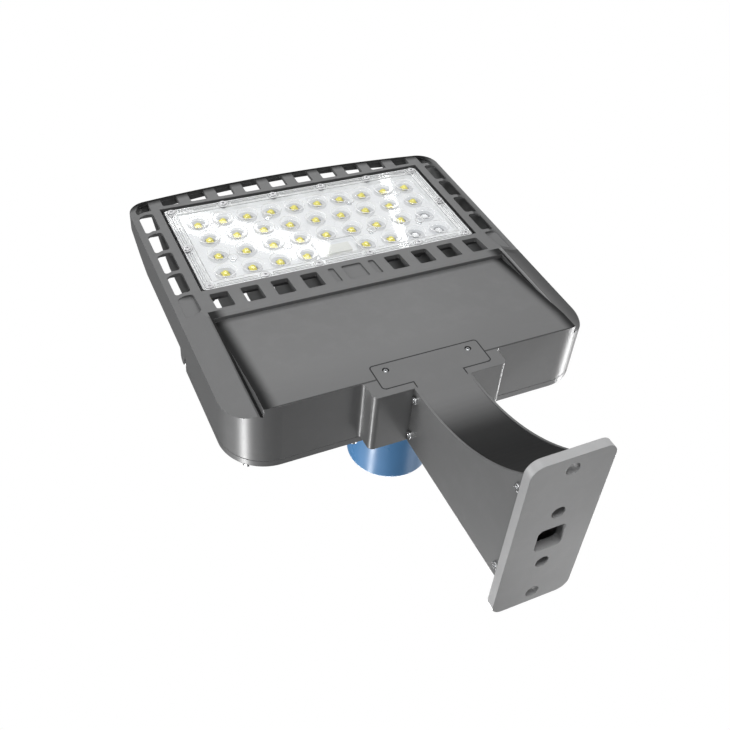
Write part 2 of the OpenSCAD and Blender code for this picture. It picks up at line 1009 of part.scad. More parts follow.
module arm_head_recess() {
    translate([-stem_half - head_gap, arm_reach - over, panel_z - over])
        cube([2 * (stem_half + head_gap), head_y0 - arm_reach + 2 * over, head_t + over]);
    upright(panel_z - over, panel_z + head_t)
        round_rect(-head_half - head_gap, head_half + head_gap, head_y0 - head_gap, head_y1 + head_gap, head_r);
}

module lens_plate() {
    color([0.93, 0.95, 0.96, 0.5])
        difference() {
            union() {
                upright(face_z, face_z + lens_t)
                    round_rect(-lens_w / 2, lens_w / 2, lens_y0, lens_y1, 2 * vent_r);
                light_places()
                    dome();
                upright(face_z - conn_box_h, face_z + over)
                    round_rect(-conn_box_w / 2, conn_box_w / 2, duct_end_y - conn_box_l / 2,
                        duct_end_y + conn_box_l / 2, vent_r);
                for (inset = [line_in, line_out])
                    lens_line(inset);
            }
            light_places()
                post(0, 0, face_z + lens_t - pocket_d, face_z + lens_t + over, pocket_r);
            lens_screw_places() {
                post(0, 0, face_z - over - line_h, face_z + lens_t + over, lens_screw_r + screw_gap);
                post(0, 0, face_z - over - line_h, face_z + lens_seat_d, lens_head_r + lens_seat_gap);
            }
            board_screw_places()
                post(0, 0, face_z + lens_t - board_head_h - slide_gap, face_z + lens_t + over,
                    board_head_r + screw_gap);
            upright(face_z, face_z + lens_t + over)
                round_rect(conn_wall - conn_box_w / 2, conn_box_w / 2 - conn_wall,
                    duct_end_y - conn_box_l / 2 + conn_wall, duct_end_y + conn_box_l / 2 - conn_wall, vent_r);
        }
}

// Raised line that runs round the flange of the lens plate
module lens_line(inset) {
    x = lens_w / 2 - inset;
    upright(face_z - line_h, face_z + over)
        difference() {
            round_rect(-x, x, lens_y0 + inset, lens_y1 - inset, vent_r);
            round_rect(line_w - x, x - line_w, lens_y0 + inset + line_w, lens_y1 - inset - line_w, vent_r / 2);
        }
}

// One lens: a low round step, a hollow ring round it and a ball cap in its middle
module dome() {
    rise = dome_h - rim_h;
    ball_r = (bump_r * bump_r + rise * rise) / (2 * rise);
    rotate_extrude()
        translate([0, face_z])
            mirror([0, 1]) {
                translate([0, -over])
                    square([dome_d / 2 - dome_edge, rim_h + over]);
                translate([0, -over])
                    square([dome_d / 2, rim_h - dome_edge + over]);
                translate([dome_d / 2 - dome_edge, rim_h - dome_edge])
                    circle(r = dome_edge);
                intersection() {
                    translate([0, dome_h - ball_r])
                        circle(r = ball_r, $fn = 2 * nose_fn / 3);
                    square([dome_d / 2 - dome_edge, dome_h + over]);
                }
            }
}

module lens_gasket() {
    color([0.75, 0.76, 0.76])
        difference() {
            upright(face_z + lens_t + pin_gap, bed_z)
                difference() {
                    round_rect(-lens_w / 2 + over, lens_w / 2 - over, lens_y0 + over, lens_y1 - over, vent_r);
                    round_rect(-lens_w / 2 + flange_w, lens_w / 2 - flange_w, lens_y0 + flange_w,
                        lens_y1 - flange_w, vent_r);
                }
            lens_screw_places()
                post(0, 0, face_z, bed_z + over, lens_screw_r + screw_gap);
        }
}

// Pan-head screw whose head stands below z and whose shank runs up
module screw_up(z, head_r, head_h, r, l) {
    translate([0, 0, z - head_h])
        difference() {
            intersection() {
                cylinder(r = head_r, h = head_h);
                translate([0, 0, head_h])
                    scale([1, 1, 1])
                        sphere(r = head_r * 1.12);
            }
            translate([0, 0, -over])
                cylinder(r = head_r / 2.4, h = over + head_h / 2, $fn = 6);
        }
    translate([0, 0, z])
        cylinder(r = r, h = l);
}

module lens_screws() {
    color([0.78, 0.79, 0.80])
        lens_screw_places()
            screw_up(face_z + lens_seat_d, lens_head_r, lens_head_h, lens_screw_r, lens_screw_l - lens_seat_d);
}

module led_board() {
    color([0.90, 0.91, 0.90])
        difference() {
            upright(bed_z - board_t, bed_z)
                round_rect(-board_w / 2, board_w / 2, (lens_y0 + lens_y1 - board_l) / 2,
                    (lens_y0 + lens_y1 + board_l) / 2, vent_r);
            board_screw_places()
                post(0, 0, bed_z - board_t - over, bed_z + over, board_screw_r + screw_gap);
            post(0, duct_end_y, bed_z - board_t - over, bed_z + over, duct_r);
        }
}

module led_chips() {
    z = bed_z - board_t - chip_t;
    color([0.95, 0.80, 0.25])
        light_places(false) {
            translate([-chip_w / 2, -chip_w / 2, z])
                cube([chip_w, chip_w, chip_t]);
            translate([0, 0, z])
                rotate([180, 0, 0])
                    rotate_extrude()
                        intersection() {
                            circle(r = chip_dome_r);
                            square(chip_dome_r);
                        }
        }
}

module board_screws() {
    color([0.78, 0.79, 0.80])
        board_screw_places()
            screw_up(bed_z - board_t, board_head_r, board_head_h, board_screw_r, board_screw_l + board_t);
}

module board_connector() {
    z = bed_z - board_t - conn_h;
    color([0.92, 0.92, 0.90])
        difference() {
            upright(z, bed_z - board_t)
                round_rect(-conn_w / 2, conn_w / 2, duct_end_y - conn_l / 2, duct_end_y + conn_l / 2, over);
            for (x = [-lead_bend, lead_bend])
                post(x, duct_end_y, z + over, bed_z, lead_r + pin_gap);
        }
}

module driver() {
    mid_y = (driver_y0 + driver_y1) / 2;
    tab = driver_screw_y + post_r;
    color([0.72, 0.73, 0.74])
        difference() {
            union() {
                upright(driver_z, driver_z + driver_h)
                    round_rect(driver_x0, driver_x1, driver_y0, driver_y1, driver_r);
                upright(driver_z, driver_z + ear_t)
                    round_rect(driver_x0 - ear_l, driver_x1 + ear_l, mid_y - tab, mid_y + tab, driver_r);
            }
            for (x = [driver_x0 - driver_screw_x, driver_x1 + driver_screw_x], side = [-1, 1])
                post(x, mid_y + side * driver_screw_y, driver_z - over, driver_z + ear_t + over,
                    small_screw_r + screw_gap);
            translate([driver_x0 + ear_l, driver_y0 + driver_r, driver_z + driver_h - over])
                cube([driver_x1 - driver_x0 - 2 * ear_l, driver_y1 - driver_y0 - 2 * driver_r, 2 * over]);
        }
}

// Screw whose head stands above z and whose shank runs down
module screw_down(z, head_r, head_h, r, l) {
    translate([0, 0, z])
        difference() {
            cylinder(r = head_r, h = head_h);
            translate([0, 0, head_h / 2])
                cylinder(r = head_r / 2, h = head_h, $fn = 6);
        }
    translate([0, 0, z - l])
        cylinder(r = r, h = l);
}

module driver_screws() {
    mid_y = (driver_y0 + driver_y1) / 2;
    color([0.78, 0.79, 0.80])
        for (x = [driver_x0 - driver_screw_x, driver_x1 + driver_screw_x], side = [-1, 1])
            translate([x, mid_y + side * driver_screw_y, 0])
                screw_down(driver_z + ear_t, small_head_r, small_head_h, small_screw_r, small_screw_l);
}

module surge_protector() {
    color([0.16, 0.17, 0.19])
        upright(driver_z, driver_z + surge_h)
            round_rect(surge_x0, surge_x1, surge_y0, surge_y1, driver_r);
}

module terminal_block() {
    pitch = (block_x1 - block_x0) / pole_n;
    color([0.88, 0.88, 0.85])
        difference() {
            upright(block_z, block_z + block_h)
                round_rect(block_x0, block_x1, block_y0, block_y1, over);
            for (k = [0 : pole_n - 1]) {
                post(block_x0 + (k + 0.5) * pitch, (block_y0 + block_y1) / 2, block_z + block_h / 2,
                    block_z + block_h + over, pitch / 4);
                long_pin(block_x0 + (k + 0.5) * pitch, block_y0 - over, block_y0 + pitch / 2,
                    block_z + block_h / 4, pitch / 4);
            }
        }
}

module inner_leads() {
    mid_y = (driver_y0 + driver_y1) / 2;
    color([0.70, 0.12, 0.10])
        for (k = [0 : lead_n - 1]) {
            cross_pin(driver_x1, surge_x0, mid_y + (k - 1) * lead_pitch / 2, driver_z + driver_h / 2, lead_r);
            long_pin(block_x0 + 2 * pole_n + k * lead_pitch, block_y1, surge_y0, block_z + block_h - 2 * lead_r, lead_r);
        }
    color([0.12, 0.12, 0.13])
        for (x = [-lead_bend, lead_bend])
            translate([x * lead_r / 2, 0, 0]) {
                long_pin(0, driver_y1, duct_end_y - lead_bend, duct_z, lead_r);
                translate([0, duct_end_y - lead_bend, duct_z - lead_bend])
                    rotate([right_angle, 0, right_angle])
                        rotate_extrude(angle = right_angle)
                            translate([lead_bend, 0])
                                circle(r = lead_r);
                post(0, duct_end_y, bed_z - board_t, duct_z - lead_bend, lead_r);
            }
}

module duct_grommet() {
    outer = duct_r + grommet_t;
    color([0.10, 0.10, 0.11])
        translate([0, step_y - wall, duct_z])
            rotate([-right_angle, 0, 0]) {
                tube(duct_r, outer, 0, wall);
                tube(duct_r, outer + 2 * over, -2 * over, 0);
            }
}

module cable_grommet() {
    bore = cable_r - grommet_t;
    color([0.10, 0.10, 0.11])
        translate([0, arm_reach, cable_z])
            rotate([-right_angle, 0, 0]) {
                tube(bore, cable_r, 0, boss_wall);
                tube(bore, cable_r + 2 * over, -2 * over, 0);
                tube(bore, cable_r + 2 * over, boss_wall, boss_wall + 2 * over);
            }
}

// Lower edge of the arm: level, then one long hollow arc down to the wall plate
arc_steps = 24;
fade_steps = 8;
arc_end = asin((curve_y - plate_t) / arm_curve_r);

function arc_point(s, r) = [
    curve_y - r * sin(arc_end * s),
    panel_z - arm_curve_r + r * cos(arc_end * s)
];

// Side outline of the arm
module arm_profile() {
    low = [for (i = [0 : arc_steps]) arc_point(i / arc_steps, arm_curve_r)];
    polygon(concat([[arm_reach, arm_top], [arm_reach, panel_z]], low, [[plate_t, arm_top_wall]]));
}

module arm_hollow_profile() {
    low = [for (i = [0 : arc_steps]) arc_point(i / arc_steps, arm_curve_r + arm_wall)];
    polygon(concat(
        [[arm_reach + over, arm_top - arm_wall], [arm_reach + over, panel_z + arm_wall]],
        low,
        [[low[arc_steps][0], arm_top_wall - arm_wall]]
    ));
}

// Shallow recess between the lips along the arm's lower edges, which fades out towards the head
module arm_under_recess() {
    along_x(lip_t - arm_half, arm_half - lip_t)
        polygon(concat(
            [for (i = [0 : arc_steps + 1]) arc_point(i / arc_steps, arm_curve_r + lip_d * min(1, i / fade_steps))],
            [for (i = [arc_steps + 1 : -1 : 0]) arc_point(i / arc_steps, arm_curve_r - over)]
        ));
}

module arm() {
    color([0.33, 0.34, 0.35])
        difference() {
            union() {
                difference() {
                    along_x(-arm_half, arm_half)
                        arm_profile();
                    along_x(arm_wall - arm_half, arm_half - arm_wall)
                        arm_hollow_profile();
                    arm_under_recess();
                }
                upright(panel_z, panel_z + head_t) {
                    translate([-stem_half, arm_reach - over])
                        square([2 * stem_half, head_y0 - arm_reach + 2 * over]);
                    round_rect(-head_half, head_half, head_y0, head_y1, head_r);
                }
            }
            both_sides()
                post(head_screw_x, head_screw_y, panel_z - over, panel_z + head_t + over, head_screw_r + screw_gap);
            both_sides()
                post(head_screw_x, head_screw_y, panel_z - over, panel_z + head_screw_head_h, head_screw_head_r + screw_gap);
            side_holes(front_screw_y, front_screw_z, side_r + screw_gap);
            side_holes(rear_screw_y, rear_screw_z, side_r + screw_gap);
            long_pin(0, 0, plate_t + relief_l, -plate_drop - outer_pitch / 2, relief_r);
        }
}

module arm_head_screws() {
    color([0.70, 0.71, 0.72])
        both_sides()
            translate([head_screw_x, head_screw_y, 0])
                screw_up(panel_z + head_screw_head_h, head_screw_head_r, head_screw_head_h - slide_gap,
                    head_screw_r, head_screw_l - head_screw_head_h);
}

module side_screws(y, places) {
    for (z = places, side = [0, 1])
        mirror([side, 0, 0])
            translate([arm_half, y, z])
                rotate([0, -right_angle, 0])
                    screw_up(0, side_head_r, side_head_h, side_r, side_l);
}

module arm_front_screws() {
    color([0.78, 0.79, 0.80])
        side_screws(front_screw_y, front_screw_z);
}

module arm_rear_screws() {
    color([0.78, 0.79, 0.80])
        side_screws(rear_screw_y, rear_screw_z);
}

module wall_plate() {
    low = -plate_drop - plate_h / 2;
    color([0.36, 0.37, 0.38])
        difference() {
            union() {
                along_y(0, plate_t)
                    round_rect(-plate_w / 2, plate_w / 2, low, low + plate_h, plate_r);
                both_sides()
                    arm_cheek(plate_t - over, plate_t + cheek_rear_l, rear_screw_z);
            }
            for (z = [-inner_pitch / 2, inner_pitch / 2])
                long_pin(0, -over, plate_t + over, z, bolt_hole_d / 2);
            for (z = [-outer_pitch / 2, outer_pitch / 2])
                long_pin(0, -over, plate_t + over, z - plate_drop, bolt_hole_d / 2);
            along_y(-over, plate_t + over)
                round_rect(-cable_hole / 2, cable_hole / 2, -cable_hole / 2, cable_hole / 2, cable_corner_r);
            side_holes(rear_screw_y, rear_screw_z, side_r);
            arm_cheek_trim();
        }
}

// Keeps the rear tongues clear of the arm's curved floor
module arm_cheek_trim() {
    keep = 3 * arm_wall;
    along_x(-arm_half, arm_half)
        polygon(concat(
            [for (i = [arc_steps : -1 : 0]) if (arc_point(i / arc_steps, arm_curve_r)[0] < plate_t + cheek_rear_l * 2)
                arc_point(i / arc_steps, arm_curve_r) + [0, keep]],
            [[plate_t + cheek_rear_l * 2, -plate_h]],
            [[plate_t, -plate_h]]
        ));
}

module hinge_pins() {
    color([0.72, 0.73, 0.74])
        both_sides()
            cross_pin(lug_x0, half_w - rail_t / 2, hinge_y, hinge_z, hinge_pin_r);
}

// Cover block with a sloping edge all round its top
module cover_body(z0, z1, inset) {
    upright(z0, z1 - inset)
        rear_plan(0, cover_y);
    translate([0, 0, z1 - inset]) {
        for (side = [-1, 1])
            translate([side * (half_w - rear_r), rear_y + rear_r, 0])
                cylinder(r1 = rear_r, r2 = rear_r - inset, h = inset);
    }
    along_y(rear_y + rear_r, cover_y)
        polygon([
            [-half_w, z1 - inset], [inset - half_w, z1], [half_w - inset, z1], [half_w, z1 - inset]
        ]);
    along_x(rear_r - half_w, half_w - rear_r)
        polygon([
            [rear_y, z1 - inset], [rear_y + inset, z1], [cover_y, z1], [cover_y, z1 - inset]
        ]);
}

module top_cover() {
    low = seam_z + seam_gap;
    color([0.30, 0.31, 0.32])
        difference() {
            union() {
                difference() {
                    cover_body(low, cover_top, cover_edge);
                    upright(low - over, cover_top - cover_t)
                        rear_plan(wall, cover_y - wall);
                    upright(low - over, low + gasket_h)
                        gasket_outline();
                }
                both_sides()
                    for (i = [0 : 1])
                        intersection() {
                            post(cover_screw_x[i], rear_y + cover_screw_y[i], low, cover_top - over, cover_boss_r);
                            upright(low, cover_top)
                                rear_plan(gasket_in + gasket_w + slide_gap, cover_y);
                        }
                translate([0, cell_y, cover_top - over])
                    cylinder(r = seat_r, h = seat_h + over);
                both_sides() {
                    translate([ear_x0, cover_y - over, low + over])
                        cube([ear_w, hinge_y - cover_y + over, hinge_z + ear_r - low - over]);
                    cross_pin(ear_x0, ear_x0 + ear_w, hinge_y, hinge_z, ear_r);
                }
            }
            translate([0, cell_y, 0])
                post(0, 0, low - over, cover_top + seat_h + over, neck_r + pin_gap);
            both_sides() {
                for (i = [0 : 1])
                    post(cover_screw_x[i], rear_y + cover_screw_y[i], low - over, cover_top + over,
                        cover_screw_r + pin_gap);
                cross_pin(ear_x0 - over, ear_x0 + ear_w + over, hinge_y, hinge_z, hinge_pin_r + pin_gap);
            }
        }
}

module gasket_outline() {
    difference() {
        rear_plan(gasket_in, cover_y - gasket_in);
        rear_plan(gasket_in + gasket_w, cover_y - gasket_in - gasket_w);
    }
}

module cover_gasket() {
    color([0.10, 0.10, 0.11])
        upright(seam_z, seam_z + seam_gap + gasket_h)
            gasket_outline();
}

module cover_screws() {
    color([0.78, 0.79, 0.80])
        both_sides()
            for (i = [0 : 1])
                translate([cover_screw_x[i], rear_y + cover_screw_y[i], 0])
                    screw_down(cover_top, cover_head_r, cover_head_h, cover_screw_r,
                        cover_top - seam_z + cover_screw_l);
}

module socket_seal() {
    color([0.10, 0.10, 0.11])
        translate([0, cell_y, cover_top + seat_h])
            tube(neck_r + seal_h, flange_r, 0, seal_h);
}

module socket() {
    color([0.14, 0.14, 0.15])
        translate([0, cell_y, 0])
            difference() {
                union() {
                    post(0, 0, neck_low_z, socket_z + over, neck_r);
                    post(0, 0, socket_z, socket_z + flange_h, flange_r);
                    post(0, 0, socket_z, socket_top, socket_r);
                }
                for (k = [0 : blade_n - 1]) {
                    span = blade_span + cell_twist + 2 * slot_play;
                    arc_bar(slot_r, slot_t, socket_top - slot_d, socket_top + over,
                        k * full_turn / blade_n + cell_twist / 2, span);
                    arc_bar(slot_r + slot_t / 2 + contact_t / 2, contact_t, neck_low_z - over, socket_top - slot_d / 4,
                        k * full_turn / blade_n, contact_span);
                }
            }
}

module socket_contacts() {
    color([0.80, 0.62, 0.30])
        translate([0, cell_y, 0])
            for (k = [0 : blade_n - 1])
                arc_bar(slot_r + slot_t / 2 + contact_t / 2, contact_t, neck_low_z - contact_tail,
                    socket_top - slot_d / 4, k * full_turn / blade_n, contact_span);
}

module socket_ring() {
    top = cover_top - cover_t - pin_gap;
    color([0.75, 0.76, 0.77])
        translate([0, cell_y, 0])
            difference() {
                post(0, 0, top - ring_h, top, ring_r);
                post(0, 0, top - ring_h - over, top + over, neck_r + fit_gap);
                for (k = [0 : 5])
                    rotate([0, 0, k * full_turn / 6])
                        translate([ring_r, 0, top - ring_h - over])
                            cylinder(r = 2 * over, h = ring_h + 2 * over);
            }
}

module cell_base() {
    color([0.12, 0.12, 0.13])
        translate([0, cell_y, 0])
            difference() {
                union() {
                    post(0, 0, cell_z, cell_z + cell_base_t, cell_base_r);
                    tube(skirt_r, cell_base_r, cell_z - skirt_h, cell_z + over);
                    for (k = [0 : blade_n - 1])
                        rotate([0, 0, k * full_turn / blade_n + full_turn / 6])
                            post(cell_post_place, 0, cell_z + cell_base_t - over, cell_z + cell_base_t + cell_post_h,
                                cell_post_r);
                }
                for (k = [0 : blade_n - 1])
                    arc_bar(slot_r, blade_t, cell_z - over, cell_z + cell_base_t + over,
                        k * full_turn / blade_n, blade_span);
            }
}

module cell_seal() {
    low = socket_z + flange_h + slide_gap;
    color([0.10, 0.10, 0.11])
        translate([0, cell_y, 0])
            tube(skirt_r + skirt_in, cell_base_r - skirt_in, low, cell_z - skirt_h);
}

module cell_blades() {
    color([0.80, 0.62, 0.30])
        translate([0, cell_y, 0])
            for (k = [0 : blade_n - 1])
                arc_bar(slot_r, blade_t, cell_z - blade_l, cell_z + cell_base_t + over,
                    k * full_turn / blade_n, blade_span);
}

module cell_cap() {
    r = cell_d / 2;
    top = cell_cap_z + cell_h;
    color([0.35, 0.60, 0.85])
        translate([0, cell_y, 0])
            difference() {
                union() {
                    post(0, 0, cell_cap_z, top - cap_round, r);
                    post(0, 0, top - 2 * cap_round, top, r - cap_round);
                    translate([0, 0, top - cap_round])
                        rotate_extrude()
                            translate([r - cap_round, 0])
                                intersection() {
                                    circle(r = cap_round);
                                    square(cap_round);
                                }
                }
                post(0, 0, cell_cap_z - over, top - cell_wall, r - cell_wall);
                cell_window_block(over);
            }
}

// Block through the cap's wall, on the side away from the arm
module cell_window_block(extra) {
    z = cell_cap_z + window_z;
    translate([-window_w / 2, cell_d / 2 - 2 * cell_wall, z])
        cube([window_w, 2 * cell_wall + extra, window_h]);
}

module cell_window() {
    color([0.10, 0.12, 0.16, 0.7])
        translate([0, cell_y, 0])
            intersection() {
                cell_window_block(over);
                tube(cell_d / 2 - cell_wall, cell_d / 2, cell_cap_z, cell_cap_z + cell_h);
            }
}

module cell_board() {
    z = cell_z + cell_base_t + cell_post_h;
    color([0.10, 0.35, 0.20])
        translate([0, cell_y, 0]) {
            post(0, 0, z, z + cell_board_t, cell_board_r);
            translate([-relay_w / 2, -relay_l, z + cell_board_t])
                cube([relay_w, relay_l, relay_h]);
            post(0, sensor_y, z + cell_board_t, z + sensor_h, sensor_r);
        }
}

housing();
lens_plate();
lens_gasket();
lens_screws();
led_board();
led_chips();
board_screws();
board_connector();
driver();
driver_screws();
surge_protector();
terminal_block();
inner_leads();
duct_grommet();
cable_grommet();
arm();
arm_head_screws();
arm_front_screws();
arm_rear_screws();
wall_plate();
hinge_pins();
top_cover();
cover_gasket();
cover_screws();
socket_seal();
socket();
socket_contacts();
socket_ring();
cell_base();
cell_seal();
cell_blades();
cell_cap();
cell_window();
cell_board();
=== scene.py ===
import math

import bmesh
import bpy
from mathutils import Matrix, Vector


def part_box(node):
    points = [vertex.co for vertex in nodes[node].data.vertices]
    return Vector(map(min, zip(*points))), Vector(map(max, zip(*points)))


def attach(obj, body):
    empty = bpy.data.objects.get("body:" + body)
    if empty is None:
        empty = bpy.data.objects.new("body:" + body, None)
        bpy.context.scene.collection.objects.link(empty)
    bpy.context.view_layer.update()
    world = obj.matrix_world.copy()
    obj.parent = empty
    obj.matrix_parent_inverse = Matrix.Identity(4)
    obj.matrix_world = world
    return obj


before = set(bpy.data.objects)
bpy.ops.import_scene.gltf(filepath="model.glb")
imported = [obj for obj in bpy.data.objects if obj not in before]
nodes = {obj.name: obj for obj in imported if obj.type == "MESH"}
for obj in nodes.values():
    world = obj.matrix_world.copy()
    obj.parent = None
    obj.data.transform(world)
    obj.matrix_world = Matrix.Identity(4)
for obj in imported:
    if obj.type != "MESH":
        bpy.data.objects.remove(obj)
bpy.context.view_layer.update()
scene = bpy.context.scene

# Places in the frame, in metres
housing_lo, housing_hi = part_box("housing")
plate_lo, plate_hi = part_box("lens_plate")
arm_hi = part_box("arm")[1]
board_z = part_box("led_board")[0].z
HOUSING_L = 0.3615
half_w, nose_y = housing_hi.x, housing_hi.y
rear_y = nose_y - HOUSING_L

# The lens plate's edges, and the lower face of its flange
LENS_T = 0.004
half_x, front_y, rear_edge_y = plate_hi.x, plate_hi.y, plate_lo.y
face_z = plate_hi.z - LENS_T


# Node trees of the materials
class Net:
    """A material's node tree with short calls."""

    def __init__(self, name):
        self.mat = bpy.data.materials.new(name)
        self.mat.use_nodes = True
        self.tree = self.mat.node_tree
        self.tree.nodes.clear()
        self.out = self.add("ShaderNodeOutputMaterial")
        self.coord = self.add("ShaderNodeTexCoord")

    def add(self, kind, **values):
        n = self.tree.nodes.new(kind)
        for k, v in values.items():
            setattr(n, k, v)
        return n

    def link(self, a, b):
        self.tree.links.new(a, b)

    def noise(self, scale, detail=3.0, rough=0.5, stretch=None):
        n = self.add("ShaderNodeTexNoise")
        n.inputs["Scale"].default_value = scale
        n.inputs["Detail"].default_value = detail
        n.inputs["Roughness"].default_value = rough
        if stretch:
            m = self.add("ShaderNodeMapping")
            m.inputs["Scale"].default_value = stretch
            self.link(self.coord.outputs["Object"], m.inputs["Vector"])
            self.link(m.outputs["Vector"], n.inputs["Vector"])
        else:
            self.link(self.coord.outputs["Object"], n.inputs["Vector"])
        return n.outputs["Fac"]

    def ramp(self, fac, stops, interpolation="LINEAR"):
        r = self.add("ShaderNodeValToRGB")
        r.color_ramp.interpolation = interpolation
        e = r.color_ramp.elements
        while len(e) < len(stops):
            e.new(0.5)
        for el, (pos, col) in zip(e, stops):
            el.position = pos
            el.color = (*col, 1.0) if not isinstance(col, float) else (col, col, col, 1.0)
        self.link(fac, r.inputs["Fac"])
        return r.outputs["Color"]

    def span(self, value, start, end, low=0.0, high=1.0, kind="LINEAR"):
        """Low to high while the value goes from start to end."""
        m = self.add("ShaderNodeMapRange", interpolation_type=kind)
        m.inputs["From Min"].default_value = start
        m.inputs["From Max"].default_value = end
        m.inputs["To Min"].default_value = low
        m.inputs["To Max"].default_value = high
        self.link(value, m.inputs["Value"])
        return m.outputs["Result"]

    def mixed(self, kind, fac, a, b):
        m = self.add("ShaderNodeMix", data_type="RGBA", blend_type=kind)
        for sock, v in ((m.inputs[0], fac), (m.inputs[6], a), (m.inputs[7], b)):
            if isinstance(v, (int, float)):
                sock.default_value = v
            elif isinstance(v, tuple):
                sock.default_value = (*v, 1.0)
            else:
                self.link(v, sock)
        return m.outputs[2]

    def math(self, op, a, b=0.0):
        m = self.add("ShaderNodeMath", operation=op)
        for sock, v in ((m.inputs[0], a), (m.inputs[1], b)):
            if isinstance(v, (int, float)):
                sock.default_value = v
            else:
                self.link(v, sock)
        return m.outputs[0]

    def above(self, value, limit):
        return self.math("GREATER_THAN", value, limit)

    def below(self, value, limit):
        return self.math("LESS_THAN", value, limit)

    def near(self, value, middle, reach):
        return self.below(self.math("ABSOLUTE", self.math("SUBTRACT", value, middle)), reach)

    def times(self, first, *parts):
        """The product of all parts."""
        for part in parts:
            first = self.math("MULTIPLY", first, part)
        return first

    def place(self):
        """X, Y and Z of the point on the object."""
        s = self.add("ShaderNodeSeparateXYZ")
        self.link(self.coord.outputs["Object"], s.inputs["Vector"])
        return s.outputs

    def facing(self):
        """X, Y and Z of the surface's direction."""
        s = self.add("ShaderNodeSeparateXYZ")
        self.link(self.add("ShaderNodeNewGeometry").outputs["Normal"], s.inputs["Vector"])
        return s.outputs

    def bump(self, height, distance, strength=1.0, normal=None):
        b = self.add("ShaderNodeBump")
        b.inputs["Distance"].default_value = distance
        b.inputs["Strength"].default_value = strength
        self.link(height, b.inputs["Height"])
        if normal is not None:
            self.link(normal, b.inputs["Normal"])
        return b.outputs["Normal"]

    def rounded(self, radius):
        b = self.add("ShaderNodeBevel", samples=6)
        b.inputs["Radius"].default_value = radius
        return b.outputs["Normal"]

    def shader(self, color, rough, normal=None, **values):
        p = self.add("ShaderNodeBsdfPrincipled")
        for key, v in {"Base Color": color, "Roughness": rough, "Normal": normal, **values}.items():
            if v is None:
                continue
            sock = p.inputs[key]
            if isinstance(v, (int, float)):
                sock.default_value = v
            elif isinstance(v, tuple):
                sock.default_value = (*v, 1.0)
            else:
                self.link(v, sock)
        self.link(p.outputs["BSDF"], self.out.inputs["Surface"])
        return p

    def over_clear(self, amount, shader, clear_tint):
        """A part of a shader over a clear wall."""
        through = self.add("ShaderNodeBsdfTransparent")
        through.inputs["Color"].default_value = (*clear_tint, 1.0)
        mix = self.add("ShaderNodeMixShader")
        self.link(amount, mix.inputs["Fac"])
        self.link(through.outputs["BSDF"], mix.inputs[1])
        self.link(shader.outputs["BSDF"], mix.inputs[2])
        self.link(mix.outputs["Shader"], self.out.inputs["Surface"])


def tone(base, share):
    """A colour made darker or paler."""
    return tuple(min(1.0, c * share) for c in base)


# Paint of the castings, with painted shade and painted highlights
def housing_painted_shade_and_highlight(n):
    """Painted shade and a painted highlight on the housing's paint: places made darker or paler than the
    rest of it where light and shade fall.

    Each is a mask, its amount, the share of the base colour there and the gloss that it loses.
    """
    panel_l, panel_top, panel_edge = 0.1460, 0.0130, half_w - 0.0253
    roll_from, roll_to = half_w - 0.0425, half_w - 0.0300
    band_edge, line_x, ridge_x = half_w - 0.0213, half_w - 0.0207, half_w - 0.0229
    nose_from, flank_from, flank_edge = nose_y - 0.0345, rear_y + 0.1390, half_w - 0.0215
    place, facing = n.place(), n.facing()
    across = n.math("ABSOLUTE", place["X"])
    far_side = n.times(place["X"], -1.0)
    on_panel = n.times(n.above(place["Y"], rear_y + 0.0002), n.below(place["Y"], rear_y + panel_l))
    between = n.below(across, panel_edge)
    down = n.below(facing["Z"], -0.3)
    # Painted shade: a dark band along each rolled edge of the panel, which also loses gloss
    roll = n.span(across, roll_from, roll_to, kind="SMOOTHSTEP")
    under_roll_shade = n.times(roll, between, on_panel, n.below(place["Z"], panel_top), down)
    # Painted shade: the nose's forward-facing band is darkened
    nose_shade = n.times(n.ramp(facing["Y"], [(0.10, 0.0), (0.32, 1.0), (0.80, 1.0), (0.95, 0.0)]),
                        n.above(place["Y"], nose_from))
    # Painted shade: a thin dark line along the panel's rear edge
    rear_brink_shade = n.times(n.near(place["Y"], rear_y + 0.0006, 0.0009), down, between)
    # Painted shade on the far side: a dark band, and a dark line beside the ridge
    far_band_shade = n.times(n.above(far_side, band_edge), on_panel, n.below(facing["Z"], -0.15))
    far_line_shade = n.times(n.near(far_side, line_x, 0.0008), on_panel)
    # Painted highlight: a paler line along the far side's ridge
    far_ridge_highlight = n.times(n.near(far_side, ridge_x, 0.0012), on_panel)

    # The nose is an arc about a point far behind the light, and its brim is a stretch of radius
    arc_r, brim_from, brim_to = 1.41785, 1.4020, 1.4095
    along = n.math("SUBTRACT", place["Y"], nose_y - arc_r)
    from_arc = n.math("SQRT", n.math("ADD", n.times(along, along), n.times(place["X"], place["X"])))
    # Painted shade on the nose's brim, which also loses gloss
    brim_shade = n.times(n.span(from_arc, brim_from, brim_to, kind="SMOOTHSTEP"),
                   n.below(facing["Y"], 0.95), n.below(facing["Z"], 0.2))
    # Painted shade on the far flank beside the vents
    flank_turn = n.ramp(n.times(facing["X"], -1.0), [(0.12, 0.0), (0.35, 1.0), (0.80, 1.0), (0.97, 0.0)])
    flank_shade = n.times(flank_turn, n.below(place["X"], -flank_edge), n.above(place["Y"], flank_from))
    return [(under_roll_shade, 0.98, 0.08, 0.833), (nose_shade, 0.90, 0.10, 0.0), (rear_brink_shade, 0.80, 0.10, 0.0),
            (far_band_shade, 0.62, 0.20, 0.60), (far_line_shade, 0.85, 0.06, 0.0), (far_ridge_highlight, 0.55, 2.0, 0.0),
            (brim_shade, 0.80, 0.10, 0.75), (flank_shade, 0.60, 0.15, 0.0)]


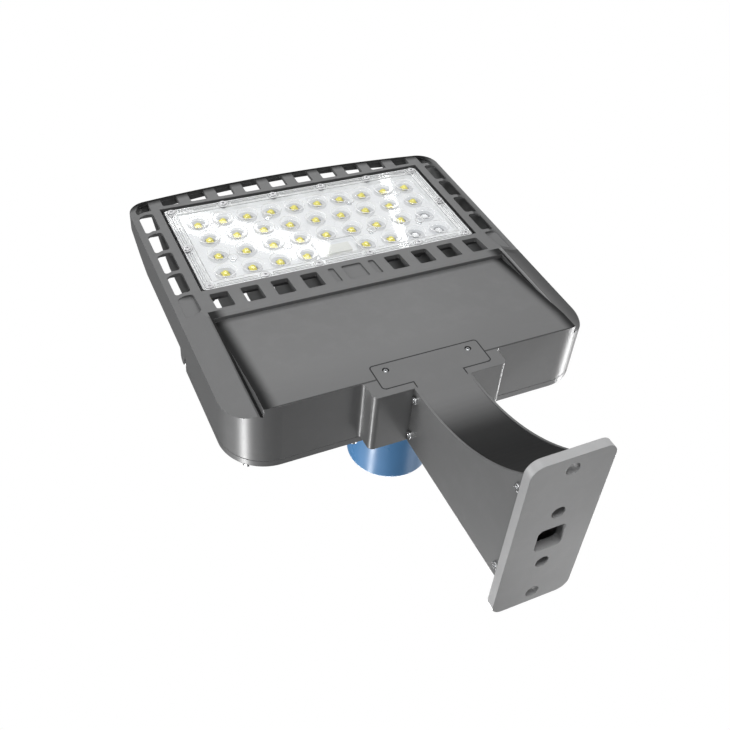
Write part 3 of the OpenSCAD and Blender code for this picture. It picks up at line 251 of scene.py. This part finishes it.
def arm_painted_shade(n):
    """Painted shade in the hollow below the arm, darker towards the wall."""
    hollow_half, pale_to, dark_from = 0.0255, 0.158, 0.098
    place = n.place()
    inside = n.below(n.math("ABSOLUTE", place["X"]), hollow_half)
    deep = n.span(place["Y"], pale_to, dark_from, kind="SMOOTHSTEP")
    return [(n.times(inside, n.below(n.facing()["Z"], -0.1), deep), 0.97, 0.12, 0.776)]


def powder_coat(name, base, rough=(0.342, 0.350), places=None, reach=0.007, depth=(0.30, 0.75)):
    """Semi-gloss powder coat on a casting: fine orange peel, faint mottling, soft edges, painted shade in
    corners and recesses, and the painted shade and highlights of the given places.
    """
    n = Net(name)
    broad = n.noise(9.0, 4.0, 0.6)
    color = n.ramp(broad, [(0.30, tone(base, 0.99)), (0.70, tone(base, 1.008))])
    color = n.mixed("MULTIPLY", 0.25, color, n.ramp(n.noise(2300.0, 2.0, 0.6), [(0.35, 0.80), (0.62, 1.0)]))
    edges = n.add("ShaderNodeNewGeometry").outputs["Pointiness"]
    patches = n.ramp(n.noise(45.0, 5.0, 0.7), [(0.45, 0.0), (0.75, 0.12)])
    wear = n.mixed("MULTIPLY", 1.0, n.ramp(edges, [(0.50, 0.0), (0.60, 1.0)]), patches)
    color = n.mixed("MIX", wear, color, tuple(min(1.0, c * 1.6 + 0.03) for c in base))
    # Painted shade: ambient occlusion darkens the colour and the gloss in corners, creases and recesses
    occlusion_shade = n.add("ShaderNodeAmbientOcclusion", samples=4)
    occlusion_shade.inputs["Distance"].default_value = reach
    shade = n.ramp(occlusion_shade.outputs["AO"], [(0.0, 0.03), (0.15, depth[0]), (0.50, depth[1]), (0.84, 1.0)])
    color = n.mixed("MULTIPLY", 1.0, color, shade)
    gloss = n.mixed("MULTIPLY", 1.0, shade, (0.40, 0.40, 0.40))
    # Painted shade and painted highlights of the given places; shaded places also lose gloss
    for mask, amount, share, dull in places(n) if places else ():
        color = n.mixed("MIX", n.times(mask, amount), color, tone(base, share))
        if dull:
            gloss = n.mixed("MULTIPLY", 1.0, gloss, n.math("SUBTRACT", 1.0, n.times(mask, dull)))
    peel = n.mixed("MIX", 0.45, n.noise(1300.0, 1.5), n.noise(620.0, 2.0))
    normal = n.bump(peel, 0.00004, 0.45, n.rounded(0.0007))
    n.shader(color, n.span(broad, 0.25, 0.75, *rough), normal, **{"Specular IOR Level": gloss})
    return n.mat


# Other materials
def steel(name, base, rough=(0.16, 0.30), stretch=None):
    n = Net(name)
    marks = n.noise(900.0, 4.0, 0.7, stretch)
    color = n.ramp(n.noise(60.0, 3.0), [(0.3, tone(base, 0.86)), (0.7, base)])
    normal = n.bump(marks, 0.00003, 0.4, n.rounded(0.0002))
    n.shader(color, n.span(marks, 0.25, 0.75, *rough), normal, Metallic=1.0)
    return n.mat


def rubber(name, base):
    n = Net(name)
    broad = n.noise(70.0, 3.0)
    color = n.ramp(broad, [(0.3, tone(base, 0.8)), (0.7, base)])
    n.shader(color, n.span(broad, 0.25, 0.75, 0.55, 0.75), n.bump(n.noise(1700.0, 3.0), 0.00008, 0.6))
    return n.mat


def moulded(name, base, rough=(0.30, 0.42), grain=1500.0, depth=0.00004, edge=0.0003, **extra):
    n = Net(name)
    broad = n.noise(38.0, 4.0)
    color = n.ramp(broad, [(0.3, tone(base, 0.93)), (0.72, base)])
    normal = n.bump(n.noise(grain, 2.0), depth, 0.5, n.rounded(edge))
    n.shader(color, n.span(broad, 0.25, 0.75, *rough), normal, **extra)
    return n.mat


def clear(name, tint):
    """Clear moulded plastic: a thin clear wall whose outer surface mirrors the lamps."""
    n = Net(name)
    normal = n.bump(n.noise(160.0, 2.0), 0.00002, 0.2, n.rounded(0.0003))
    color = n.ramp(n.noise(26.0, 3.0), [(0.3, tone(tint, 0.97)), (0.7, tint)])
    mirror = n.shader(color, 0.035, normal, Metallic=1.0)
    slant = n.add("ShaderNodeLayerWeight")
    slant.inputs["Blend"].default_value = 0.5
    n.link(normal, slant.inputs["Normal"])
    amount = n.math("ADD", n.times(n.math("POWER", slant.outputs["Facing"], 3.0), 0.05), 0.040)
    shadow_ray = n.add("ShaderNodeLightPath").outputs["Is Shadow Ray"]
    inner_side = n.add("ShaderNodeNewGeometry").outputs["Backfacing"]
    outer = n.math("SUBTRACT", 1.0, n.math("MAXIMUM", shadow_ray, inner_side))
    n.over_clear(n.times(amount, outer), mirror, (0.985, 0.99, 0.992))
    return n.mat


def tinted(name, color, amount):
    """Moulded clear plastic: a part of a colour over what lies behind, for painted highlights where the
    colour is pale and painted shade lines where it is grey.
    """
    n = Net(name)
    grain = n.noise(400.0, 2.0)
    shade = n.ramp(grain, [(0.3, tone(color, 0.96)), (0.7, color)])
    coat = n.shader(shade, n.span(grain, 0.25, 0.75, 0.225, 0.275), n.bump(grain, 0.00001, 0.3))
    shadow_ray = n.add("ShaderNodeLightPath").outputs["Is Shadow Ray"]
    n.over_clear(n.times(amount, n.math("SUBTRACT", 1.0, shadow_ray)), coat, (1.0, 1.0, 1.0))
    return n.mat


def board_white(name):
    """White solder mask with the faint raised edges of wide copper areas under it."""
    n = Net(name)
    broad = n.noise(30.0, 3.0)
    color = n.ramp(broad, [(0.3, (0.85, 0.85, 0.86)), (0.7, (0.89, 0.89, 0.90))])
    cells = n.add("ShaderNodeTexVoronoi", feature="DISTANCE_TO_EDGE")
    cells.inputs["Scale"].default_value = 34.0
    n.link(n.coord.outputs["Object"], cells.inputs["Vector"])
    edge = n.ramp(cells.outputs["Distance"], [(0.0, 0.0), (0.035, 1.0)])
    color = n.mixed("MULTIPLY", 0.07, color, edge)
    n.shader(color, n.span(broad, 0.25, 0.75, 0.32, 0.42), n.bump(edge, 0.00004, 0.5))
    return n.mat


def phosphor(name, split):
    """Yellow silicone dome on a white ceramic base, split at a height."""
    n = Net(name)
    grain = n.noise(2600.0, 3.0)
    yellow = n.ramp(grain, [(0.3, (0.84, 0.74, 0.13)), (0.7, (0.93, 0.84, 0.20))])
    color = n.mixed("MIX", n.below(n.place()["Z"], split), (0.86, 0.86, 0.84), yellow)
    rough = n.span(grain, 0.25, 0.75, 0.40, 0.52)
    n.shader(color, rough, n.bump(grain, 0.00002, 0.4), **{"Specular IOR Level": 0.35})
    return n.mat


def by_place(name, axis, stops):
    """Insulated wires whose colour changes with their place along one axis: stops are (metres, colour)."""
    n = Net(name)
    low, high = stops[0][0], stops[-1][0]
    shares = [((pos - low) / (high - low), col) for pos, col in stops]
    color = n.ramp(n.span(n.place()[axis], low, high), shares, "CONSTANT")
    grain = n.noise(900.0, 2.0)
    color = n.mixed("MULTIPLY", 0.2, color, n.ramp(grain, [(0.3, 0.8), (0.7, 1.0)]))
    n.shader(color, n.span(grain, 0.25, 0.75, 0.3, 0.4), n.bump(grain, 0.00003, 0.4))
    return n.mat


# Materials of the CAD nodes
GREY = (0.155, 0.156, 0.157)
# Painted light: the wall plate's paint is made paler than the housing's grey, standing for the brighter
# light on its face
PLATE_GREY_PAINTED_LIGHT = (0.400, 0.401, 0.404)
BRIGHT = (0.80, 0.81, 0.82)
RED, BLACK, GREEN, WHITE = (0.36, 0.02, 0.02), (0.02, 0.02, 0.02), (0.05, 0.16, 0.04), (0.62, 0.62, 0.60)
chip_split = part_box("led_chips")[1].z - 0.0002

MATERIALS = {
    # The housing and the arm carry painted shade: occlusion in corners and the masks of their places; the
    # arm's long reach darkens its hollow
    "housing": powder_coat("housing_coat", GREY, places=housing_painted_shade_and_highlight, depth=(0.50, 0.86)),
    "arm": powder_coat("arm_coat", GREY, places=arm_painted_shade, reach=0.06, depth=(0.20, 0.65)),
    "wall_plate": powder_coat("wall_plate_coat_painted_light", PLATE_GREY_PAINTED_LIGHT, (0.34, 0.42)),
    "top_cover": powder_coat("cover_coat", GREY),
    "lens_plate": clear("clear_lens", (0.985, 0.992, 0.990)),
    "lens_gasket": rubber("pale_silicone", (0.88, 0.88, 0.88)),
    "lens_screws": steel("bright_screw", (0.60, 0.60, 0.61), (0.30, 0.42)),
    "board_screws": steel("board_screw", (0.74, 0.75, 0.76)),
    "arm_head_screws": steel("socket_screw", (0.42, 0.43, 0.44), (0.25, 0.4)),
    "arm_front_screws": steel("arm_screw", BRIGHT),
    "arm_rear_screws": steel("arm_screw_rear", BRIGHT),
    "cover_screws": steel("cover_screw", BRIGHT),
    "driver_screws": steel("driver_screw", (0.70, 0.71, 0.70)),
    "hinge_pins": steel("hinge_pin", (0.66, 0.67, 0.68), (0.14, 0.24), (1.0, 30.0, 30.0)),
    "led_board": board_white("solder_mask"),
    "led_chips": phosphor("led_phosphor", chip_split),
    "board_connector": moulded("connector_nylon", (0.80, 0.80, 0.76)),
    "driver": steel("driver_case", (0.62, 0.63, 0.64), (0.30, 0.44), (4.0, 120.0, 120.0)),
    "surge_protector": moulded("surge_case", (0.025, 0.027, 0.032), (0.42, 0.55), 900.0, 0.00008),
    "terminal_block": moulded("terminal_nylon", (0.74, 0.74, 0.68)),
    "duct_grommet": rubber("duct_grommet_rubber", (0.018, 0.018, 0.019)),
    "cable_grommet": rubber("cable_grommet_rubber", (0.018, 0.018, 0.019)),
    "cover_gasket": rubber("cover_gasket_rubber", (0.020, 0.020, 0.021)),
    "socket_seal": rubber("socket_seal_rubber", (0.020, 0.020, 0.021)),
    "cell_seal": rubber("cell_seal_rubber", (0.022, 0.022, 0.023)),
    "socket": moulded("phenolic", (0.022, 0.022, 0.024), (0.36, 0.5), 1100.0, 0.00006),
    "socket_ring": moulded("nylon_nut", (0.42, 0.43, 0.44)),
    "cell_base": moulded("cell_base_moulding", (0.022, 0.022, 0.024), (0.4, 0.52)),
    "socket_contacts": steel("contact_brass", (0.80, 0.60, 0.27), (0.22, 0.34)),
    "cell_blades": steel("blade_brass", (0.83, 0.64, 0.30), (0.20, 0.32)),
    "cell_cap": moulded("blue_cap", (0.130, 0.330, 0.640), (0.26, 0.34), 700.0, 0.00003, 0.0008,
                        **{"Specular IOR Level": 0.3}),
    "cell_window": moulded("smoky_window", (0.02, 0.024, 0.03), (0.06, 0.12), 600.0, 0.00001),
    "cell_board": moulded("green_board", (0.02, 0.13, 0.06), (0.3, 0.42)),
    "inner_leads": by_place("wire_insulation", "X", [
        (-0.02, RED), (0.0015, BLACK), (0.058, GREEN), (0.067, WHITE), (0.076, BLACK), (0.12, BLACK)]),
}

for name, obj in nodes.items():
    obj.data.materials.clear()
    obj.data.materials.append(MATERIALS[name])


# Mesh helpers of the scene's own pieces
def new_piece(name, bm, mat, smooth=True):
    """A mesh piece that rides on the light."""
    bmesh.ops.recalc_face_normals(bm, faces=bm.faces)
    mesh = bpy.data.meshes.new(name)
    bm.to_mesh(mesh)
    bm.free()
    for poly in mesh.polygons:
        poly.use_smooth = smooth
    mesh.materials.append(mat)
    obj = bpy.data.objects.new(name, mesh)
    scene.collection.objects.link(obj)
    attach(obj, "light")


def skin(bm, rows, closed=True):
    """Faces between rows of vertices, where each row is a closed section."""
    last = len(rows) if closed else len(rows) - 1
    for i in range(last):
        one, two = rows[i], rows[(i + 1) % len(rows)]
        for j in range(len(one)):
            k = (j + 1) % len(one)
            bm.faces.new((one[j], one[k], two[k], two[j]))


def lathe(bm, centre, profile, steps=40):
    """A closed profile of (radius, height) turned about an upright axis through the centre."""
    rows = []
    for i in range(steps):
        a = 2.0 * math.pi * i / steps
        x, y = math.cos(a), math.sin(a)
        rows.append([bm.verts.new((centre[0] + r * x, centre[1] + r * y, z)) for r, z in profile])
    skin(bm, rows)


def round_section(radius, z, tube, steps=8):
    """Profile of a round ring for lathe."""
    turns = [2.0 * math.pi * k / steps for k in range(steps)]
    return [(radius + tube * math.cos(a), z + tube * math.sin(a)) for a in turns]


def round_loop(x0, x1, y0, y1, r, steps=8):
    """Points of a rectangle with round corners, with the outward direction at each."""
    corners = ((x1 - r, y1 - r), (x0 + r, y1 - r), (x0 + r, y0 + r), (x1 - r, y0 + r))
    pts = []
    for quarter, (cx, cy) in enumerate(corners):
        for k in range(steps + 1):
            a = math.radians(90.0 * (quarter + k / steps))
            pts.append((cx + r * math.cos(a), cy + r * math.sin(a), math.cos(a), math.sin(a)))
    return pts


def plate_loop(inset, r):
    """A round loop at a distance inside the lens plate's edge."""
    return round_loop(-half_x + inset, half_x - inset, rear_edge_y + inset, front_y - inset, r)


def bead(bm, loop, z, tube, steps=6):
    """A bead of round section along a closed loop."""
    turns = [2.0 * math.pi * k / steps for k in range(steps)]
    section = [(tube * math.cos(a), z + tube * math.sin(a)) for a in turns]
    skin(bm, [[bm.verts.new((x + nx * out, y + ny * out, height)) for out, height in section]
              for x, y, nx, ny in loop])


def box_ring(bm, outer, inner, low, high):
    """A closed ring of rectangular section between two loops."""
    skin(bm, [[bm.verts.new((q[0], q[1], z)) for q, z in ((a, low), (b, low), (b, high), (a, high))]
              for a, b in zip(outer, inner)])


def strip(bm, path, z, half, proud):
    """A low ridge along an open path in a level plane: flat back, raised middle, closed ends."""
    back = z + 0.0003
    rows = []
    for i, point in enumerate(path):
        q = Vector(point)
        before = (q - Vector(path[max(i - 1, 0)])).normalized()
        after = (Vector(path[min(i + 1, len(path) - 1)]) - q).normalized()
        along = (before + after).normalized()
        side = Vector((along.y, -along.x))
        straight = Vector((after.y, -after.x)) if after.length else side
        out = side * half / max(0.5, abs(side.dot(straight)))
        a, b = q + out, q - out
        section = ((a, back), (a, z - proud * 0.4), (q, z - proud), (b, z - proud * 0.4), (b, back))
        rows.append([bm.verts.new((v.x, v.y, height)) for v, height in section])
    skin(bm, rows, closed=False)
    bm.faces.new(rows[0])
    bm.faces.new(list(reversed(rows[-1])))


def centres(obj):
    """Middle of every separate solid of a CAD node, in metres."""
    bm = bmesh.new()
    bm.from_mesh(obj.data)
    bmesh.ops.remove_doubles(bm, verts=bm.verts, dist=1e-6)
    seen, found = set(), []
    for start in bm.verts:
        if start in seen:
            continue
        stack, part = [start], []
        seen.add(start)
        while stack:
            v = stack.pop()
            part.append(obj.matrix_world @ v.co)
            for e in v.link_edges:
                w = e.other_vert(v)
                if w not in seen:
                    seen.add(w)
                    stack.append(w)
        low = [min(q[i] for q in part) for i in range(3)]
        high = [max(q[i] for q in part) for i in range(3)]
        found.append(Vector([(a + b) / 2 for a, b in zip(low, high)]))
    bm.free()
    return found


# Painted highlight and painted shade for the clear plate's moulded lines and the domes' rings
edge_highlight = tinted("plate_edge_highlight", (0.97, 0.97, 0.97), 0.78)
edge_shade = tinted("plate_edge_shade", (0.20, 0.20, 0.21), 0.50)


# Rings and fields round the lens domes: ten, nine, nine and eight in four rows. The pale rings are painted
# highlights; the grey rims and fields on the board are painted shade.
def lens_places():
    front_margin, row_step, ten_step, nine_step = 0.0312, 0.0288, 0.0267, 0.0292
    rows = [front_y - front_margin - k * row_step for k in range(4)]
    places = [((k - 4.5) * ten_step, rows[0]) for k in range(10)]
    places += [((k - 4) * nine_step, y) for y in rows[1:3] for k in range(9)]

    # The last row leaves room for the connector; its places are shares of the plate's width
    shares = (0.1111, 0.2084, 0.3064, 0.4007)
    return places + [(side * share * 2.0 * half_x, rows[3]) for share in shares for side in (-1, 1)]


def lens_pieces():
    rings, rims, fields = bmesh.new(), bmesh.new(), bmesh.new()
    # Painted highlight: a pale ring at each dome's foot
    ring = round_section(0.01085, face_z - 0.00115, 0.00038)
    # Painted shade: a grey rim round each chip and a greyer field inside each dome
    rim = [(0.0038, board_z - 0.00014), (0.0050, board_z - 0.00020),
           (0.0056, board_z - 0.00014), (0.0047, board_z - 0.00008)]
    field = [(0.0056, board_z - 0.00012), (0.0100, board_z - 0.00012),
             (0.0102, board_z - 0.00006), (0.0054, board_z - 0.00006)]
    for place in lens_places():
        lathe(rings, place, ring, 48)
        lathe(rims, place, rim)
        lathe(fields, place, field)
    new_piece("lens_highlight_rings", rings, edge_highlight)
    border = bmesh.new()
    outer, inner = plate_loop(0.01315, 0.0012), plate_loop(0.0170, 0.0012)
    box_ring(border, outer, inner, board_z - 0.00028, board_z - 0.00008)
    new_piece("board_border", border, board_white("border_film"), smooth=False)
    field_shade = moulded("lens_field_shade", (0.69, 0.69, 0.705), (0.45, 0.55))
    new_piece("lens_shade_fields", fields, field_shade, smooth=False)
    new_piece("lens_shade_rims", rims, moulded("lens_rim_shade", (0.56, 0.56, 0.58), (0.45, 0.55)))


# Moulded lines of the lens plate's flange: ridges with a painted highlight, each with a painted shade line
# beside it
def flange_pieces():
    white, grey = bmesh.new(), bmesh.new()
    bead(white, plate_loop(0.0013, 0.0032), face_z + 0.0001, 0.00050)
    bead(grey, plate_loop(0.0031, 0.0018), face_z - 0.0002, 0.00022)
    bead(white, plate_loop(0.0108, 0.0018), face_z - 0.0006, 0.00042)
    bead(grey, plate_loop(0.0119, 0.0014), face_z - 0.0002, 0.00022)

    screws = centres(nodes["lens_screws"])
    # Painted highlight and painted shade rings round each lens screw and board screw
    for c in screws:
        lathe(white, c, round_section(0.00480, face_z, 0.00042), 36)
        lathe(grey, c, round_section(0.00545, face_z, 0.00020), 36)
    for c in centres(nodes["board_screws"]):
        lathe(white, c, round_section(0.00450, face_z, 0.00034), 36)
        lathe(grey, c, round_section(0.00505, face_z, 0.00016), 36)

    end_gap, side_gap = 0.0006, 0.0007

    def slot(x0, x1, y0, y1, in_x, in_y):
        """A long ridge between two screws with a painted highlight, and the painted shade line inside it."""
        bead(white, round_loop(x0, x1, y0, y1, 0.0018), face_z, 0.00034)
        bead(grey, round_loop(x0 + in_x, x1 - in_x, y0 + in_y, y1 - in_y, 0.0011), face_z, 0.00022)

    gap, inset, half, corner_screw, flange_w = 0.0078, 0.0064, 0.0019, 0.005, 0.008
    xs = sorted({round(c.x, 4) for c in screws if abs(c.y - front_y) < flange_w})
    for y in (rear_edge_y + inset, front_y - inset):
        for a, b in zip(xs, xs[1:]):
            slot(a + gap, b - gap, y - half, y + half, end_gap, side_gap)
    mid_y = (front_y + rear_edge_y) / 2
    for x in (inset - half_x, half_x - inset):
        for a, b in ((rear_edge_y + corner_screw, mid_y), (mid_y, front_y - corner_screw)):
            slot(x - half, x + half, a + gap, b - gap, side_gap, end_gap)

    # Painted highlight round the connector's bulge, with a painted shade line outside it
    bulge_y, half_l, half_d, bulge_z = rear_edge_y + 0.025, 0.0227, 0.0137, face_z - 0.0018
    bead(white, round_loop(-half_l, half_l, bulge_y - half_d, bulge_y + half_d, 0.0019), bulge_z, 0.00036)
    half_l, half_d = half_l + end_gap, half_d + end_gap
    bead(grey, round_loop(-half_l, half_l, bulge_y - half_d, bulge_y + half_d, 0.0025), face_z, 0.00024)

    film = bmesh.new()
    box_ring(film, plate_loop(0.0002, 0.0038), plate_loop(0.0006, 0.0034), face_z + 0.0003, face_z + 0.0054)
    new_piece("plate_edge_film", film, moulded("frosted_edge", (0.86, 0.87, 0.87), (0.4, 0.5)), smooth=False)
    # Painted shade: a black bead in the gap round the lens plate, standing for the shadow on the frame's
    # inner wall
    shade_bead = bmesh.new()
    bead(shade_bead, plate_loop(0.0, 0.0040), face_z - 0.0002, 0.00056)
    new_piece("lens_gap_shade", shade_bead, rubber("lens_gap_black_shade", (0.012, 0.012, 0.012)))
    new_piece("plate_highlight_lines", white, edge_highlight)
    new_piece("plate_shade_lines", grey, edge_shade)


# Black strip over the seam round the arm's head, wider than the gap: painted shade in the seam
def seam_shade_strip():
    half_gap, corner, head_l, stem_half = 0.00025, 0.003, 0.029, 0.0242
    seam_x, seam_y = arm_hi.x + half_gap, arm_hi.y + half_gap
    stem_x = stem_half + half_gap
    head_y = arm_hi.y - head_l
    right = [(stem_x, head_y - 0.0065), (stem_x, head_y - half_gap), (seam_x - corner, head_y - half_gap)]
    for cy, start in ((head_y + corner, -90.0), (seam_y - corner, 0.0)):
        for k in range(7):
            a = math.radians(start + 15.0 * k)
            right.append((seam_x - corner + corner * math.cos(a), cy + corner * math.sin(a)))
    seam = bmesh.new()
    strip(seam, right + [(-x, y) for x, y in reversed(right)], housing_lo.z, 0.00062, 0.00006)
    new_piece("arm_head_seam_shade", seam, rubber("seam_shade_black", (0.012, 0.012, 0.013)), smooth=False)


lens_pieces()
flange_pieces()
seam_shade_strip()

# Camera, at the photograph's place
CAMERA_PLACE = (0.330913, -0.300635, -0.546641)
CAMERA_TURN = (47.77449, 175.04116, 25.54284)
cam_data = bpy.data.cameras.new("camera")
cam_data.sensor_width = 36.0
cam_data.sensor_fit = "HORIZONTAL"
cam_data.lens = 45.3872
cam_data.shift_x = -0.02985
cam_data.shift_y = -0.01439
cam_data.clip_start = 0.01
cam_data.clip_end = 60.0
camera = bpy.data.objects.new("camera", cam_data)
scene.collection.objects.link(camera)
camera.location = CAMERA_PLACE
camera.rotation_euler = [math.radians(a) for a in CAMERA_TURN]
scene.camera = camera


# Lamps
def area_light(name, place, target, size, power, roll=None):
    """A rectangle of light: power in watts, and roll is the way that its first side runs."""
    data = bpy.data.lights.new(name, "AREA")
    data.shape = "RECTANGLE"
    data.size, data.size_y = size
    data.energy = power
    lamp = bpy.data.objects.new(name, data)
    scene.collection.objects.link(lamp)
    back = (Vector(place) - Vector(target)).normalized()
    along = Vector(roll) if roll else Vector((0.0, 0.0, 1.0)).cross(back)
    along = (along - back * along.dot(back)).normalized()
    up = back.cross(along)
    lamp.matrix_world = Matrix((
        (along.x, up.x, back.x, place[0]),
        (along.y, up.y, back.y, place[1]),
        (along.z, up.z, back.z, place[2]),
        (0.0, 0.0, 0.0, 1.0)))
    lamp.visible_camera = False


housing_mid = (0.0, 0.3, 0.0)
lens_mid = (0.0, 0.44, 0.0095)
area_light("under", (0.20, -0.10, -1.77), housing_mid, (0.9, 0.9), 23.0)
area_light("side_left", (1.5, 0.72, -0.30), (0.05, 0.1, 0.0), (0.30, 0.8), 10.0, (0.0, 1.0, 0.0))
area_light("wall_glow", (-0.72, -0.68, 1.10), (0.0, 0.0, 0.0), (0.5, 0.5), 1.5)
area_light("corner_left", (1.09, -0.16, 1.10), (0.17, 0.20, 0.02), (0.12, 0.45), 13.0)
area_light("corner_right", (-1.30, 0.0, 0.97), (-0.17, 0.20, 0.02), (0.12, 0.45), 6.5)
area_light("top", (-0.2, 0.80, 1.9), housing_mid, (1.0, 1.0), 27.0)
area_light("streak_left", (-0.365, 1.82, -1.0), lens_mid, (0.52, 0.070), 0.95, (-0.34, -0.29, 0.0))
area_light("streak_right", (-0.86, 1.846, -1.0), lens_mid, (0.50, 0.030), 0.62, (0.134, -0.40, 0.0))


# World: white where it is seen or mirrored, a weak fill light for all else
def studio_world():
    world = bpy.data.worlds.new("studio")
    scene.world = world
    world.use_nodes = True
    tree = world.node_tree
    tree.nodes.clear()
    out = tree.nodes.new("ShaderNodeOutputWorld")
    path = tree.nodes.new("ShaderNodeLightPath")
    white = tree.nodes.new("ShaderNodeBackground")
    white.inputs["Color"].default_value = (1.0, 1.0, 1.0, 1.0)
    fill = tree.nodes.new("ShaderNodeBackground")
    fill.inputs["Color"].default_value = (0.98, 0.99, 1.0, 1.0)
    fill.inputs["Strength"].default_value = 0.12
    seen = path.outputs["Is Camera Ray"]
    for ray in ("Is Transmission Ray", "Is Glossy Ray"):
        either = tree.nodes.new("ShaderNodeMath")
        either.operation = "MAXIMUM"
        tree.links.new(seen, either.inputs[0])
        tree.links.new(path.outputs[ray], either.inputs[1])
        seen = either.outputs[0]
    mix = tree.nodes.new("ShaderNodeMixShader")
    tree.links.new(seen, mix.inputs["Fac"])
    tree.links.new(fill.outputs[0], mix.inputs[1])
    tree.links.new(white.outputs[0], mix.inputs[2])
    tree.links.new(mix.outputs[0], out.inputs["Surface"])


studio_world()


# Stage: a pale paper floor, and black cards that give the paint its dark reflections
def stage_card(name, corners, low, high, rough, glow=0.0):
    """A sheet of the studio; with glow it stays pale where it is seen or mirrored and keeps its shadow."""
    mesh = bpy.data.meshes.new(name)
    mesh.from_pydata(corners, [], [(0, 1, 2, 3)])
    card = bpy.data.objects.new(name, mesh)
    scene.collection.objects.link(card)
    net = Net(name + "_paper")
    shade = net.ramp(net.noise(3.0), [(0.3, low), (0.7, high)])
    paper = net.shader(shade, rough)
    if glow:
        even = net.add("ShaderNodeEmission")
        net.link(shade, even.inputs["Color"])
        path = net.add("ShaderNodeLightPath")
        seen = net.math("MAXIMUM", path.outputs["Is Camera Ray"], path.outputs["Is Glossy Ray"])
        seen = net.math("MAXIMUM", seen, path.outputs["Is Transmission Ray"])
        net.link(net.times(seen, glow), even.inputs["Strength"])
        both = net.add("ShaderNodeAddShader")
        net.link(paper.outputs["BSDF"], both.inputs[0])
        net.link(even.outputs["Emission"], both.inputs[1])
        net.link(both.outputs["Shader"], net.out.inputs["Surface"])
    card.data.materials.append(net.mat)
    return card


floor_z, floor_half = -2.4, 9
floor_corners = [(x * floor_half, y * floor_half, floor_z) for x, y in ((-1, -1), (1, -1), (1, 1), (-1, 1))]
stage_card("floor", floor_corners, 0.90, 0.92, 0.9, glow=0.84)
BLACK_CARDS = {
    "black_card_nose": [(-1.7, 1.7, -0.5), (1.7, 1.7, -0.5), (1.7, 1.5, 1.7), (-1.7, 1.5, 1.7)],
    "black_card_wall": [(-0.66, -0.80, 2.0), (0.75, -1.0, 1.8), (0.75, -1.5, 0.1), (-0.62, -1.45, 0.25)],
    "black_card_side": [(1.713, 1.338, 1.08), (1.107, 0.626, 1.82),
                        (-0.113, 1.662, 1.82), (0.493, 2.374, 1.08)],
}
for name, corners in BLACK_CARDS.items():
    card = stage_card(name, corners, 0.004, 0.006, 0.95)
    card.visible_camera = False
    card.visible_shadow = False

scene.view_settings.view_transform = "Standard"
